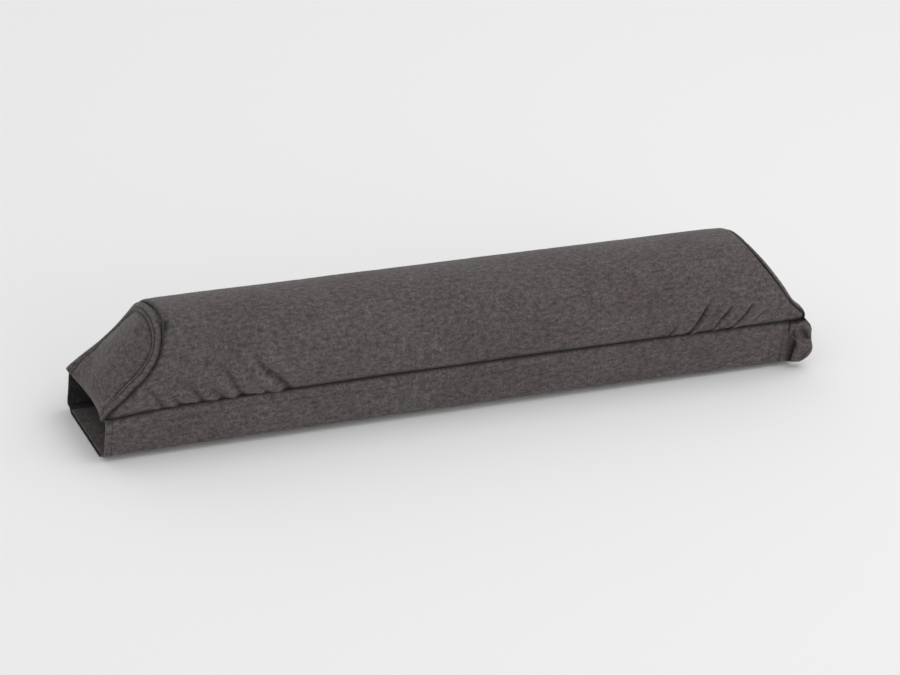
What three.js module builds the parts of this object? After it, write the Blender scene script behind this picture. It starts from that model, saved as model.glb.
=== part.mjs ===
import * as THREE from "three";

// A pad that wraps a flat crossbar: a foam core in a sewn cloth cover, with two flaps that
// close on each other beneath the bar. Millimetres. X runs along the bar, Y across it and
// Z up, and the origin is on the lowest face, under the middle of the bar.

// The crossbar that the pad is made to fit.
const barWidth = 80;
const barHeight = 22;
const barClearance = 0.6;

// Cloth, tape, and the space between layers that lie on each other.
const clothThickness = 1.2;
const tapeThickness = 1;
const layerGap = 0.3;

// The crown over the foam. Heights are above the bar's top.
const padLength = 588;
const crownHeight = 73.5;
const crownWidth = 90;
const waistHeight = 37;
const domeExponent = 2.15;
const sideShare = 0.14;
const crownOverhang = 0.6;
const seamHeightLeft = 8.5;
const seamHeightRight = 13.2;
const seamHeightPastCorner = 12.6;
const seamCornerReach = 40;
const seamArch = 1.2;

// The sloping end panels: how far each runs back from the pad's end to the ridge, how far both
// are drawn in on the back and the left one on the front, and the lower edge.
const endRunLeft = 51;
const endRunRight = 45;
const endBulge = 4;
const endBackDrawIn = 15;
const leftFrontDrawIn = 4;
const endEdgeHeight = 3.5;
const endEdgeDrop = 1;
const endEdgeDrawIn = 4.5;
const endKneeRise = 7.5;
const earReachLeft = 1;
const earReachRight = 5;
const earRise = 4;
const earSpread = 7;
const seamBandHeight = 0.8;
const seamBandStartShare = 0.93;
const seamBandEndShare = 0.98;

// The base panel under the foam.
const baseCornerRadius = 6;
const baseEndReach = 30;

// The flaps, from the long seams down and under the bar.
const flapOverlap = 64;
const flapFoldRadius = 2.4;
const backFoldRadius = 1.5;
const flapEndInset = 1;
const flapRiseWidth = 4.5;
const flapEdgeGap = 0.7;
const cornerSlack = 2;
const slackFromShare = 0.5;

// The folded-back end of the front flap, which starts before the pad's end and reaches past it.
const foldInset = 10;
const foldPastEnd = 8.4;
const foldDepth = 7.8;
const foldReturn = 12.5;
const foldLipDepth = 1.4;

// How full the fold is, and where, as shares of the way from the seam down to the bar's bottom.
const pinchAtSeamShare = 0.35;
const fullFromShare = 0.3;
const fullToShare = 0.78;
const lobeNotchShare = 0.3;
const lobeNotchAtShare = 0.66;
const lobeNotchWidthShare = 0.08;

// The hook and loop tapes.
const tapeWidth = 50;
const tapeEndInset = 14;

// Loose cloth on the crown, its creases and the puckers along the seam.
const looseLift = 1.3;
const looseTop = 60;
const looseFade = 16;
const looseHold = 4;
const puckerHeight = 0.9;
const puckerPitch = 34;
const puckerReach = 11;

// Creases on the front of the crown: each climbs from its foot towards the nearer end. The foot
// is placed by its distance from that end and its rise over the seam.
const creaseWidth = 3.6;
const creaseRun = 14;
const creaseRise = 20;
const rightCreases = [
  { inset: 122, rise: 5, size: 0.4 },
  { inset: 106, rise: 2, size: 1.15 },
  { inset: 84, rise: 5, size: 0.9 },
  { inset: 67, rise: 8, size: 0.8 },
];
const leftCreases = [
  { inset: 143, rise: 4, size: 1.3 },
  { inset: 109, rise: 3, size: 1.1 },
  { inset: 76, rise: 5, size: 0.9 },
];

// How finely each surface is divided.
const alongLeftCreases = 17;
const alongCrown = 12;
const alongRightCreases = 14;
const alongCrownEnd = 4;
const aroundCrown = 18;
const rowsBySeam = 4;
const upEndPanel = 6;
const alongCorner = 7;
const alongBase = 4;
const alongBaseEnd = 3;
const alongFoam = 10;
const alongFrontFlap = 14;
const alongFold = 12;
const alongBackFlap = 6;
const acrossBase = [1, 3, 4, 3, 1];
const acrossFrontFlap = [6, 3, 1, 1, 2];
const acrossBackFlap = [4, 3, 1, 1, 1, 2, 3];
const probe = 1e-4;

// Heights of the layers, from the lowest face up.
const outerFlapTop = clothThickness;
const hookTapeMiddle = outerFlapTop + layerGap + tapeThickness / 2;
const loopTapeMiddle = hookTapeMiddle + tapeThickness + layerGap;
const innerFlapBottom = loopTapeMiddle + tapeThickness / 2 + layerGap;
const channelFloor = innerFlapBottom + clothThickness;
const barTop = channelFloor + barClearance + barHeight;
const channelRoof = barTop + barClearance;

// Half widths of the layers at the bar's sides.
const channelSide = barWidth / 2 + barClearance;
const skirtMiddle = channelSide + clothThickness / 2;
const baseSide = channelSide - layerGap;
const seamSide = channelSide + clothThickness + crownOverhang;
const crownSide = crownWidth / 2;
const lining = clothThickness + layerGap;

// Where the fold in the front flap starts, and how far it reaches.
const foldStart = padLength / 2 - foldInset;
const foldReach = padLength / 2 + foldPastEnd;

// The lean of each end is its run for each millimetre of height.
const leftEnd = {
  side: -1,
  seam: seamHeightLeft,
  lean: endRunLeft / (crownHeight - seamHeightLeft),
  ear: earReachLeft,
  frontDrawIn: leftFrontDrawIn,
};
const rightEnd = {
  side: 1,
  seam: seamHeightRight,
  lean: endRunRight / (crownHeight - seamHeightRight),
  ear: earReachRight,
  frontDrawIn: 0,
};

const spaced = (from, to, count) =>
  Array.from({ length: count + 1 }, (_, i) => from + ((to - from) * i) / count);
const mix = THREE.MathUtils.lerp;
const clamp = THREE.MathUtils.clamp;
const smoothstep = THREE.MathUtils.smoothstep;
const bell = (distance, width) => Math.exp(-((distance / width) ** 2));

// The height of the long seams, which arches a little and sags to the left corners.
function seamHeight(along) {
  const arched = seamArch * Math.sin(along * Math.PI);
  const sag = seamHeightPastCorner - seamHeightLeft;
  const toCorner = sag * bell(along * padLength, seamCornerReach);
  return mix(seamHeightPastCorner, seamHeightRight, along) + arched - toCorner;
}

// A closed geometry from points and triangles, turned so that its faces point outwards.
function closedGeometry(points, triangles) {
  let volume = 0;
  for (const [a, b, c] of triangles) {
    volume += points[a].dot(points[b].clone().cross(points[c]));
  }
  const turned = volume < 0 ? triangles.map(([a, b, c]) => [a, c, b]) : triangles;
  const geometry = new THREE.BufferGeometry().setFromPoints(points);
  geometry.setIndex(turned.flat());
  geometry.computeVertexNormals();
  return geometry;
}

// The normal of a surface at(u, v), from two short steps each way.
function surfaceNormal(at, u, v) {
  const alongU = at(u + probe, v).sub(at(u - probe, v));
  const alongV = at(u, v + probe).sub(at(u, v - probe));
  return alongU.cross(alongV).normalize();
}

// A closed sheet: the surface at(u, v) moved along its normal by two offsets, with its four
// edges closed.
function sheet(us, vs, at, offsets) {
  const points = [];
  for (const offset of offsets) {
    for (const u of us) {
      for (const v of vs) {
        points.push(at(u, v).addScaledVector(surfaceNormal(at, u, v), offset));
      }
    }
  }
  const index = (face, i, j) => (face * us.length + i) * vs.length + j;
  const triangles = [];
  const quad = (a, b, c, d) => triangles.push([a, b, c], [a, c, d]);
  const lastU = us.length - 1;
  const lastV = vs.length - 1;
  for (let i = 0; i < lastU; i++) {
    for (let j = 0; j < lastV; j++) {
      quad(index(0, i, j), index(0, i + 1, j), index(0, i + 1, j + 1), index(0, i, j + 1));
      quad(index(1, i, j), index(1, i, j + 1), index(1, i + 1, j + 1), index(1, i + 1, j));
    }
    quad(index(0, i + 1, 0), index(0, i, 0), index(1, i, 0), index(1, i + 1, 0));
    quad(index(0, i, lastV), index(0, i + 1, lastV), index(1, i + 1, lastV), index(1, i, lastV));
  }
  for (let j = 0; j < lastV; j++) {
    quad(index(0, 0, j), index(0, 0, j + 1), index(1, 0, j + 1), index(1, 0, j));
    quad(index(0, lastU, j + 1), index(0, lastU, j), index(1, lastU, j), index(1, lastU, j + 1));
  }
  return closedGeometry(points, triangles);
}

// A solid through a row of closed rings with as many points each, and a fan over each end.
function loft(rings) {
  const count = rings[0].length;
  const points = rings.flat();
  const triangles = [];
  for (let i = 0; i < rings.length - 1; i++) {
    for (let j = 0; j < count; j++) {
      const next = (j + 1) % count;
      const [a, b] = [i * count + j, i * count + next];
      triangles.push([a, a + count, b + count], [a, b + count, b]);
    }
  }
  const centre = (ring) =>
    ring.reduce((sum, p) => sum.add(p), new THREE.Vector3()).divideScalar(count);
  const first = points.push(centre(rings[0])) - 1;
  const last = points.push(centre(rings.at(-1))) - 1;
  const lastRing = (rings.length - 1) * count;
  for (let j = 0; j < count; j++) {
    const next = (j + 1) % count;
    triangles.push([first, j, next], [last, lastRing + next, lastRing + j]);
  }
  return closedGeometry(points, triangles);
}

// A path through corners given as [y, z], each inner corner rounded by a curve. Returns a
// function of t from 0 to 1 and the values of t at which the path is worth dividing.
function roundedPath(corners, radius, divisions) {
  const points = corners.map(([y, z]) => new THREE.Vector2(y, z));
  const path = new THREE.CurvePath();
  let start = points[0];
  for (let i = 1; i < points.length - 1; i++) {
    const into = points[i].clone().sub(start).setLength(radius);
    const outOf = points[i + 1].clone().sub(points[i]).setLength(radius);
    const from = points[i].clone().sub(into);
    const to = points[i].clone().add(outOf);
    path.add(new THREE.LineCurve(start, from));
    path.add(new THREE.QuadraticBezierCurve(from, points[i], to));
    start = to;
  }
  path.add(new THREE.LineCurve(start, points.at(-1)));
  const pieces = path.curves.length;
  const steps = divisions.flatMap((count, piece) => spaced(piece, piece + 1, count).slice(1));
  return {
    pieces,
    at(t) {
      const piece = clamp(Math.floor(t * pieces), 0, pieces - 1);
      return path.curves[piece].getPoint(t * pieces - piece);
    },
    ts: [0, ...steps.map((step) => step / pieces)],
  };
}

// The x of an end's outer surface at a height above the bar. Its lower edge is drawn in
// between the corners, its front and back between the seam and the ridge, and the corners stand
// out as ears.
function endSurface(end, y, height) {
  const betweenCorners = Math.max(0, 1 - (y / baseSide) ** 2);
  const knee = end.seam + endKneeRise;
  const under = clamp((knee - height) / (knee - endEdgeHeight), 0, 1) ** 2;
  const drawIn = endEdgeDrawIn + end.lean * (end.seam - endEdgeHeight);
  const ear = end.ear * bell(height - end.seam - earRise, earSpread) * (1 - betweenCorners);
  const reach = padLength / 2 - end.lean * (height - end.seam);
  const rising = clamp((height - end.seam) / (crownHeight - end.seam), 0, 1);
  const most = y < 0 ? end.frontDrawIn : endBackDrawIn;
  const beside = most * smoothstep(Math.abs(y), 0, crownSide) * Math.sin(Math.PI * rising);
  return end.side * (reach - drawIn * betweenCorners * under - beside + ear);
}

// The height of an end panel's lower edge between its corners.
function endEdge(end, y) {
  const betweenCorners = Math.max(0, 1 - (y / baseSide) ** 2);
  return mix(end.seam - endEdgeDrop, endEdgeHeight, betweenCorners);
}

// Half of the crown's section from the seam to the waist, and the dome above it, as [y, height].
// v runs from 0 at the front seam to 1 at the back seam.
function sectionPoint(v, seam) {
  const fromSeam = Math.min(v, 1 - v) / sideShare;
  if (fromSeam < 1) {
    const y = mix(seamSide, crownSide, Math.sin((fromSeam * Math.PI) / 2));
    return [v < 0.5 ? -y : y, mix(seam + layerGap / 2, waistHeight, fromSeam)];
  }
  const turn = (Math.PI * (v - sideShare)) / (1 - 2 * sideShare);
  const across = Math.sign(Math.cos(turn)) * Math.abs(Math.cos(turn)) ** (2 / domeExponent);
  const up = Math.sin(turn) ** (2 / domeExponent);
  return [-crownSide * across, mix(waistHeight, crownHeight, up)];
}

// A point of the crown's section moved outwards by a lift, and inwards where it is negative.
function crownSection(v, seam, lift) {
  const [y, height] = sectionPoint(v, seam);
  const [y0, height0] = sectionPoint(Math.max(v - probe, 0), seam);
  const [y1, height1] = sectionPoint(Math.min(v + probe, 1), seam);
  const normal = new THREE.Vector2(height0 - height1, y1 - y0).normalize();
  return [y + normal.x * lift, height + normal.y * lift];
}

// A crease as a line from its foot to its tip, in x and in height over the seam.
function creaseLine(side, { inset, rise, size }) {
  const foot = new THREE.Vector3(side * (padLength / 2 - inset), rise, 0);
  const climb = new THREE.Vector3(side * creaseRun, creaseRise, 0).multiplyScalar(size);
  return new THREE.Line3(foot, foot.clone().add(climb));
}
const creaseLines = [
  ...rightCreases.map((crease) => creaseLine(1, crease)),
  ...leftCreases.map((crease) => creaseLine(-1, crease)),
];

// How far the cloth stands off the foam. It is held at the seam and pulled tight on top, with
// creases on the front and puckers along both seams.
function looseness(x, y, height, seam) {
  const rise = Math.max(0, height - seam);
  const free = (1 - Math.exp(-rise / looseHold)) * clamp((looseTop - height) / looseFade, 0, 1);
  let pressed = 0;
  for (const line of y < 0 ? creaseLines : []) {
    const here = new THREE.Vector3(x, rise, 0);
    const nearest = line.closestPointToPoint(here, true, new THREE.Vector3());
    pressed = Math.max(pressed, bell(here.distanceTo(nearest), creaseWidth));
  }
  const ripple = (1 + Math.sin((2 * Math.PI * x) / puckerPitch)) / 2;
  const pucker = puckerHeight * ripple * Math.exp(-rise / puckerReach);
  return (looseLift * (1 - pressed) + pucker) * free;
}

function crownSurface(along, v) {
  const seam = seamHeight(along);
  const [y, height] = sectionPoint(clamp(v, 0, 1), seam);
  const x = mix(endSurface(leftEnd, y, height), endSurface(rightEnd, y, height), along);
  const [liftedY, liftedHeight] = crownSection(v, seam, looseness(x, y, height, seam));
  return new THREE.Vector3(x, liftedY, barTop + liftedHeight);
}

function makeCrown() {
  const insetsOf = (creases) => creases.map(({ inset }) => inset);
  const leftTo = (Math.max(...insetsOf(leftCreases)) + creaseWidth) / padLength;
  const rightInsets = insetsOf(rightCreases);
  const rightFrom = 1 - (Math.max(...rightInsets) + creaseWidth) / padLength;
  const rightTo = 1 - (Math.min(...rightInsets) - creaseRun - creaseWidth) / padLength;
  const us = [
    ...spaced(0, leftTo, alongLeftCreases),
    ...spaced(leftTo, rightFrom, alongCrown).slice(1),
    ...spaced(rightFrom, rightTo, alongRightCreases).slice(1),
    ...spaced(rightTo, 1, alongCrownEnd).slice(1),
  ];
  const rows = spaced(0, 1, aroundCrown);
  const vs = [...spaced(0, rows[1], rowsBySeam), ...rows.slice(2)];
  return sheet(us, vs, crownSurface, [0, -clothThickness]);
}

// An end panel lies inside the crown's edge. s runs from the front corner to the back corner
// and r from the lower edge up to the curved seam, beside which a stitched band stands proud.
function makeEndPanel(end) {
  const slope = new THREE.Vector3(end.side, 0, end.lean).normalize();
  const surface = (s, r) => {
    const [archY, archHeight] = crownSection(clamp(s, 0, 1), end.seam, -lining);
    const edgeY = mix(-baseSide, baseSide, s);
    const y = mix(edgeY, archY, r);
    const height = mix(endEdge(end, edgeY), archHeight, r);
    const inPanel = Math.max(0, Math.sin(Math.PI * r) * Math.sin(Math.PI * s));
    const banded = r > seamBandStartShare && r <= seamBandEndShare ? seamBandHeight : 0;
    const point = new THREE.Vector3(endSurface(end, y, height), y, barTop + height);
    return point.addScaledVector(slope, endBulge * Math.sqrt(inPanel) + banded);
  };
  const ss = spaced(0, 1, aroundCrown);
  const bandRows = [seamBandStartShare + 2 * probe, seamBandEndShare - probe];
  const rs = [...spaced(0, seamBandStartShare, upEndPanel), ...bandRows, 1];
  const offsets = [0, -clothThickness].map((offset) => offset * end.side);
  return sheet(ss, rs, surface, offsets);
}

// The base panel's lower face across the bar, from the front seam to the back seam: flat with
// rounded corners, and arched up to the end panel's lower edge at each end.
function baseSection(along, seam) {
  const top = barTop + seam - 2 * layerGap;
  const flat = roundedPath(
    [
      [-baseSide, top],
      [-baseSide, channelRoof],
      [baseSide, channelRoof],
      [baseSide, top],
    ],
    baseCornerRadius,
    acrossBase,
  );
  const toEnd = clamp(1 - (Math.min(along, 1 - along) * padLength) / baseEndReach, 0, 1);
  const blend = smoothstep(toEnd, 0, 1);
  const end = along < 0.5 ? leftEnd : rightEnd;
  return {
    ts: flat.ts,
    at(t) {
      const level = flat.at(t);
      const y = mix(-baseSide, baseSide, t);
      const arched = barTop + endEdge(end, y) - lining;
      return [mix(level.x, y, blend), mix(level.y, arched, blend)];
    },
  };
}

// The x of a point inside the cover, a given distance behind both ends.
function insideEnds(along, y, height, inset) {
  const limit = padLength / 2 - inset;
  const left = Math.max(endSurface(leftEnd, y, height) + inset, -limit);
  const right = Math.min(endSurface(rightEnd, y, height) - inset, limit);
  return mix(left, right, along);
}

// Stations along the pad, closer together by the left corners, where the seams sag, and where
// the base arches up to the right end.
function stationsWithEnds(count) {
  const left = (2 * seamCornerReach) / padLength;
  const right = 1 - baseEndReach / padLength;
  return [
    ...spaced(0, left, alongCorner),
    ...spaced(left, right, count).slice(1),
    ...spaced(right, 1, alongBaseEnd).slice(1),
  ];
}

function makeBase() {
  const surface = (along, t) => {
    const [y, z] = baseSection(clamp(along, 0, 1), seamHeight(along)).at(clamp(t, 0, 1));
    return new THREE.Vector3(insideEnds(along, y, z - barTop, lining), y, z);
  };
  const { ts } = baseSection(0, seamHeightLeft);
  return sheet(stationsWithEnds(alongBase), ts, surface, [0, clothThickness]);
}

// The foam fills the cover: its section follows the base panel and the crown, a layer inside.
function makeFoam() {
  const inset = 2 * lining;
  const place = (along, y, height) =>
    new THREE.Vector3(insideEnds(along, y, height, inset), y, barTop + height);
  const ring = (along) => {
    const seam = seamHeight(along);
    const section = baseSection(along, seam);
    const under = section.ts.map((t) => {
      const [y, z] = section.at(t);
      const inward = (baseSide - lining) / baseSide;
      return place(along, y * inward, z + lining - barTop);
    });
    const over = spaced(0, 1, aroundCrown).map((v) => {
      const [y, height] = crownSection(v, seam, -lining);
      return place(along, y, height);
    });
    return [...under, ...over.reverse()];
  };
  return loft(stationsWithEnds(alongFoam).map(ring));
}

// The front flap hangs from the front seam, turns under the bar and ends past its middle. The
// right end of the hanging part is folded back outwards into a loose lip.
function makeFrontFlap() {
  const middle = innerFlapBottom + clothThickness / 2;
  const section = (along) =>
    roundedPath(
      [
        [-skirtMiddle, barTop + seamHeight(clamp(along, 0, 1)) - layerGap],
        [-skirtMiddle, middle],
        [-flapOverlap / 2, middle],
        [flapOverlap / 2, middle],
      ],
      flapFoldRadius,
      acrossFrontFlap,
    );
  const start = -padLength / 2 + flapEndInset;
  const bend = foldDepth / 2;
  const bendCentre = foldReach - bend;
  const lead = bendCentre - foldStart;
  const turn = Math.PI * bend;
  const foldLength = lead + turn + foldReturn;
  // The folded cloth seen from above, at a distance from the start of the fold: [x, how far out].
  const folded = (distance) => {
    if (distance < lead) {
      return [foldStart + distance, 0];
    }
    if (distance < lead + turn) {
      const angle = (distance - lead) / bend;
      return [bendCentre + bend * Math.sin(angle), bend * (1 - Math.cos(angle))];
    }
    const back = distance - lead - turn;
    return [bendCentre - back, foldDepth - foldLipDepth * (back / foldReturn) ** 2];
  };
  // How far the fold is made at a share of the way down the hanging part: pinched at the seam,
  // full below it, pinched again between its two lobes and gone at the bottom.
  const fullness = (down) => {
    const opened = mix(pinchAtSeamShare, 1, smoothstep(down, 0, fullFromShare));
    const closed = 1 - smoothstep(down, fullToShare, 1);
    const notch = lobeNotchShare * bell(down - lobeNotchAtShare, lobeNotchWidthShare);
    return opened * closed * (1 - notch);
  };
  const { ts, pieces } = section(0);
  const surface = (position, t) => {
    const distance = Math.max(0, position - 1) * foldLength;
    const along = (Math.min(position, 1) * (foldStart - start)) / padLength;
    const point = section(along).at(clamp(t, 0, 1));
    const down = clamp(t * pieces, 0, 1);
    const folding = distance > 0 ? fullness(down) : 0;
    const [foldX, out] = folded(distance);
    const plainX = foldStart + (padLength / 2 - flapEndInset - foldStart) * (distance / foldLength);
    const x = distance > 0 ? mix(plainX, foldX, folding) : mix(start, foldStart, position);
    const underFront = clamp((-point.x - flapOverlap / 2) / flapFoldRadius - 1, 0, 1);
    const slack = cornerSlack * smoothstep(along, slackFromShare, 1) * underFront;
    const low = smoothstep(barTop - point.y, barHeight / 2, barHeight);
    return new THREE.Vector3(x, point.x - out * folding, point.y - slack * low);
  };
  const corner = (2 * seamCornerReach) / (foldStart - start);
  const positions = [
    ...spaced(0, corner, alongCorner),
    ...spaced(corner, 1, alongFrontFlap).slice(1),
    ...spaced(1, 2, alongFold).slice(1),
  ];
  const half = clothThickness / 2;
  return sheet(positions, ts, surface, [half, -half]);
}

// The back flap hangs from the back seam, turns under the bar, drops past the front flap's
// edge and lies beneath it.
function makeBackFlap() {
  const upper = innerFlapBottom + clothThickness / 2;
  const lower = clothThickness / 2;
  const drop = flapOverlap / 2 + flapEdgeGap;
  const section = (along) =>
    roundedPath(
      [
        [skirtMiddle, barTop + seamHeight(along) - layerGap],
        [skirtMiddle, upper],
        [drop + flapRiseWidth, upper],
        [drop, lower],
        [-flapOverlap / 2, lower],
      ],
      backFoldRadius,
      acrossBackFlap,
    );
  const reach = padLength / 2 - flapEndInset;
  const surface = (along, t) => {
    const point = section(clamp(along, 0, 1)).at(clamp(t, 0, 1));
    return new THREE.Vector3(mix(-reach, reach, along), point.x, point.y);
  };
  const half = clothThickness / 2;
  return sheet(stationsWithEnds(alongBackFlap), section(0).ts, surface, [half, -half]);
}

function makeTape() {
  return new THREE.BoxGeometry(padLength - 2 * tapeEndInset, tapeWidth, tapeThickness);
}

const cloth = () =>
  new THREE.MeshStandardMaterial({ color: "#4b4643", roughness: 0.92, metalness: 0 });
const foam = () =>
  new THREE.MeshStandardMaterial({ color: "#c9c6be", roughness: 0.95, metalness: 0 });
const tape = () =>
  new THREE.MeshStandardMaterial({ color: "#1c1b1b", roughness: 0.9, metalness: 0 });

function piece(name, geometry, material) {
  const mesh = new THREE.Mesh(geometry, material);
  mesh.name = name;
  return mesh;
}

function tapeAt(name, height) {
  const mesh = piece(name, makeTape(), tape());
  mesh.position.z = height;
  return mesh;
}

const pad = new THREE.Group();
pad.add(
  piece("foam_core", makeFoam(), foam()),
  piece("crown_panel", makeCrown(), cloth()),
  piece("left_end_panel", makeEndPanel(leftEnd), cloth()),
  piece("right_end_panel", makeEndPanel(rightEnd), cloth()),
  piece("base_panel", makeBase(), cloth()),
  piece("front_flap", makeFrontFlap(), cloth()),
  piece("back_flap", makeBackFlap(), cloth()),
  tapeAt("loop_tape", loopTapeMiddle),
  tapeAt("hook_tape", hookTapeMiddle),
);

export default pad;
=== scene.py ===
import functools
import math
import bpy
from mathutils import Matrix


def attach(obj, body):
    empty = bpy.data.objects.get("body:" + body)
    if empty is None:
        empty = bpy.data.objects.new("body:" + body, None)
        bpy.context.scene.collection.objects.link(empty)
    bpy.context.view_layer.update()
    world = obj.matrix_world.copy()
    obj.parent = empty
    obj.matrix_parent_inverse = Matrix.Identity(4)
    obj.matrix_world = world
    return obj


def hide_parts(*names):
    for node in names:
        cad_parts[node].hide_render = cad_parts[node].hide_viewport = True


bl_info = {
    "name": "Roof rack pad",
    "version": (1, 0, 0),
    "blender": (4, 5, 0),
    "location": "3D View > Sidebar > Pad",
    "description": "Builds a foam pad in a sewn cloth cover that wraps round a flat crossbar",
    "category": "Add Mesh",
}

import bmesh
import bpy
import numpy as np
from bpy.props import FloatProperty, FloatVectorProperty, PointerProperty
from bpy.types import Operator, Panel, PropertyGroup
from mathutils import Matrix, Vector

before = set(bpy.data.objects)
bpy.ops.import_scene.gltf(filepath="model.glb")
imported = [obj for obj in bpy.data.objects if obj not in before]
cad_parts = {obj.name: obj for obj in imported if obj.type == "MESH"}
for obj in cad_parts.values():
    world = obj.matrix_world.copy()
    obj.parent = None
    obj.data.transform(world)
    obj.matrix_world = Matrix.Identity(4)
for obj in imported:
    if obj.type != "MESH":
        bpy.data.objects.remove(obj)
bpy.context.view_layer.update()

MM = 0.001

# The crown's section: how square its dome is, and the share of the way round that each side takes.
DOME_EXPONENT = 2.15
SIDE_SHARE = 0.14

# The thickness of a drawn sheet of cloth, and how far a flap's outer face is from its middle, in mm.
SHEET = 0.82
OUTER_FACE = 0.3

# How far the foam lies inside the cover, as a number of linings.
FOAM_INSET = 2.6

# Where stitches lie: as shares of the band's and the hem's width, and in mm from a tape's edge.
BAND_STITCH = 0.76
HEM_STITCH = 0.72
TAPE_STITCH = 2.5

# The cover's coarse grid for settling: points along the pad, round it, and up each end.
COVER_GRID = (132, 42, 20)
SETTLING_FRAMES = 20

# Creases, in mm: the foot from the pad's end and over the seam, reach, climb, depth, width.
RIGHT_CREASES = (
    (120, 2, 4, 8, 1.2, 1.3),
    (105, 1, 16, 26, 2.6, 1.7),
    (83, 2, 14, 22, 2.4, 1.4),
    (65, 2, 14, 22, 2.6, 1.3),
    (47, 6, 10, 13, 0.8, 1.6),
)
LEFT_CREASES = (
    (144, 3, 30, 30, 2.6, 3.2),
    (129, 2, 12, 11, 1.2, 1.8),
    (109, 2, 21, 27, 2.2, 2.8),
    (92, 2, 12, 13, 1.4, 2.0),
    (76, 3, 16, 17, 1.7, 2.0),
    (60, 1, 11, 13, 1.3, 1.8),
    (44, 4, 13, 16, 1.3, 1.7),
)
# The creases of each side, with how dark the painted shade in them is.
CREASES = ((1, 0.62, RIGHT_CREASES), (-1, 0.3, LEFT_CREASES))

# Where the front flap's folded lip starts, in mm from the pad's end, and its steps.
LIP_START = 15
LIP_STEPS = 64
# How far the lip swells, at even steps from the seam down.
LIP_SWELL = (0, 0.62, 0.84, 0.94, 1.04, 1.2, 1.2, 1.0, 0.6, 0)
# The lip's pleats: place across it, lean, start and finish on the way down, depth in mm.
LIP_PLEATS = (
    (0.97, 0.00, 0.05, 0.32, 0.9),
    (0.90, 0.04, 0.16, 0.44, 1.3),
    (0.865, -0.10, 0.02, 0.20, 0.8),
    (0.82, -0.20, 0.10, 0.42, 1.6),
    (0.80, 0.00, 0.66, 0.96, 0.8),
    (0.60, -0.08, 0.04, 0.34, 1.3),
    (0.20, 0.10, 0.02, 0.26, 0.8),
)
# How wide a pleat is, as a share of the way across the lip.
PLEAT_WIDTH = 0.034

# The lamps: name, place and size in metres, and the setting that holds the power.
LAMPS = (
    ("overhead_lamp", (0.9, -0.1, 2.1), 1.8, "overhead_power"),
    ("left_lamp", (-2.0, -0.9, 1.3), 1.2, "side_power"),
    ("front_lamp", (0.3, -2.4, 0.5), 1.6, "front_power"),
)
LAMP_AIM = Vector((0, 0, 0.05))
FLOOR_REACH = 12

# The camera in metres: its place, the way it looked and its right before it was aimed, and its aim.
CAMERA_PLACE = Vector((-1.0505, -2.0467, 1.2874))
CAMERA_FORWARD = Vector((0.31087, 0.81606, -0.48724))
CAMERA_RIGHT = Vector((0.94244, -0.33118, 0.0466))
CAMERA_AIM = Vector((0.0, -0.005, 0.046))


def length_setting(name, description, default):
    return FloatProperty(name=name, description=description, default=default, unit="LENGTH")


def number_setting(name, description, default, **options):
    return FloatProperty(name=name, description=description, default=default, **options)


def colour_setting(name, description, default):
    return FloatVectorProperty(name=name, description=description, default=default, subtype="COLOR")


class PadSizes(PropertyGroup):
    pad_length: length_setting("Length", "Along the long seams", 0.588)
    run_left: length_setting("Slope, left", "Of the left end, along the pad", 0.051)
    run_right: length_setting("Slope, right", "Of the right end, along the pad", 0.045)
    crown_height: length_setting("Height", "Of the top over the bar", 0.0735)
    crown_width: length_setting("Width", "At the widest", 0.09)
    waist_height: length_setting("Waist", "Of the widest place over the bar", 0.037)
    bar_width: length_setting("Bar width", "Of the crossbar", 0.08)
    bar_height: length_setting("Bar height", "Of the crossbar", 0.022)
    bar_clearance: length_setting("Clearance", "Between cloth and bar", 0.0006)
    cloth_thickness: length_setting("Layer", "Room for a layer of cloth", 0.0012)
    tape_thickness: length_setting("Tape", "Thickness of each tape", 0.001)
    tape_width: length_setting("Tape width", "Of both tapes", 0.05)
    tape_inset: length_setting("Tape inset", "From the pad's ends", 0.014)
    layer_gap: length_setting("Gap", "Between layers that lie on each other", 0.0003)
    seam_left: length_setting("Seam, left", "Height over the bar at the left end", 0.0085)
    seam_right: length_setting("Seam, right", "Height over the bar at the right end", 0.0132)
    seam_past_corner: length_setting("Seam past corner", "Height beyond the left corners", 0.0126)
    seam_corner_reach: length_setting("Corner sag", "How far the left corners' sag reaches", 0.04)
    seam_arch: length_setting("Seam arch", "Rise of the long seams in the middle", 0.0012)
    end_edge: length_setting("End edge", "Height of the end panels' lower edge", 0.0035)
    end_bulge: length_setting("End bulge", "Of the sloping ends", 0.004)
    band_width: length_setting("Band", "Width of the topstitched band", 0.0068)
    flap_overlap: length_setting("Overlap", "Of the flaps under the bar", 0.064)
    flap_inset: length_setting("Flap inset", "From the pad's ends", 0.001)
    hem_width: length_setting("Hem", "Width of the flaps' hems", 0.0075)
    fold_reach: length_setting("Fold reach", "Of the folded end past the pad's end", 0.0084)


class PadSewing(PropertyGroup):
    stitch_length: length_setting("Stitch", "Length of a stitch", 0.0036)
    stitch_gap: length_setting("Gap", "Between two stitches", 0.0008)
    thread_radius: length_setting("Thread", "Radius of the thread", 0.0003)
    weave_pitch: length_setting("Weave", "From thread to thread of the cloth", 0.00062)
    slackness: number_setting("Slackness", "Spare cloth over the foam", 0.01, min=0, max=0.1)
    pressure: number_setting("Pressure", "Of the foam on the cover", 4, min=0, max=20)
    settle_cap: length_setting("Largest shift", "Of the cloth as it settles", 0.0022)


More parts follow.
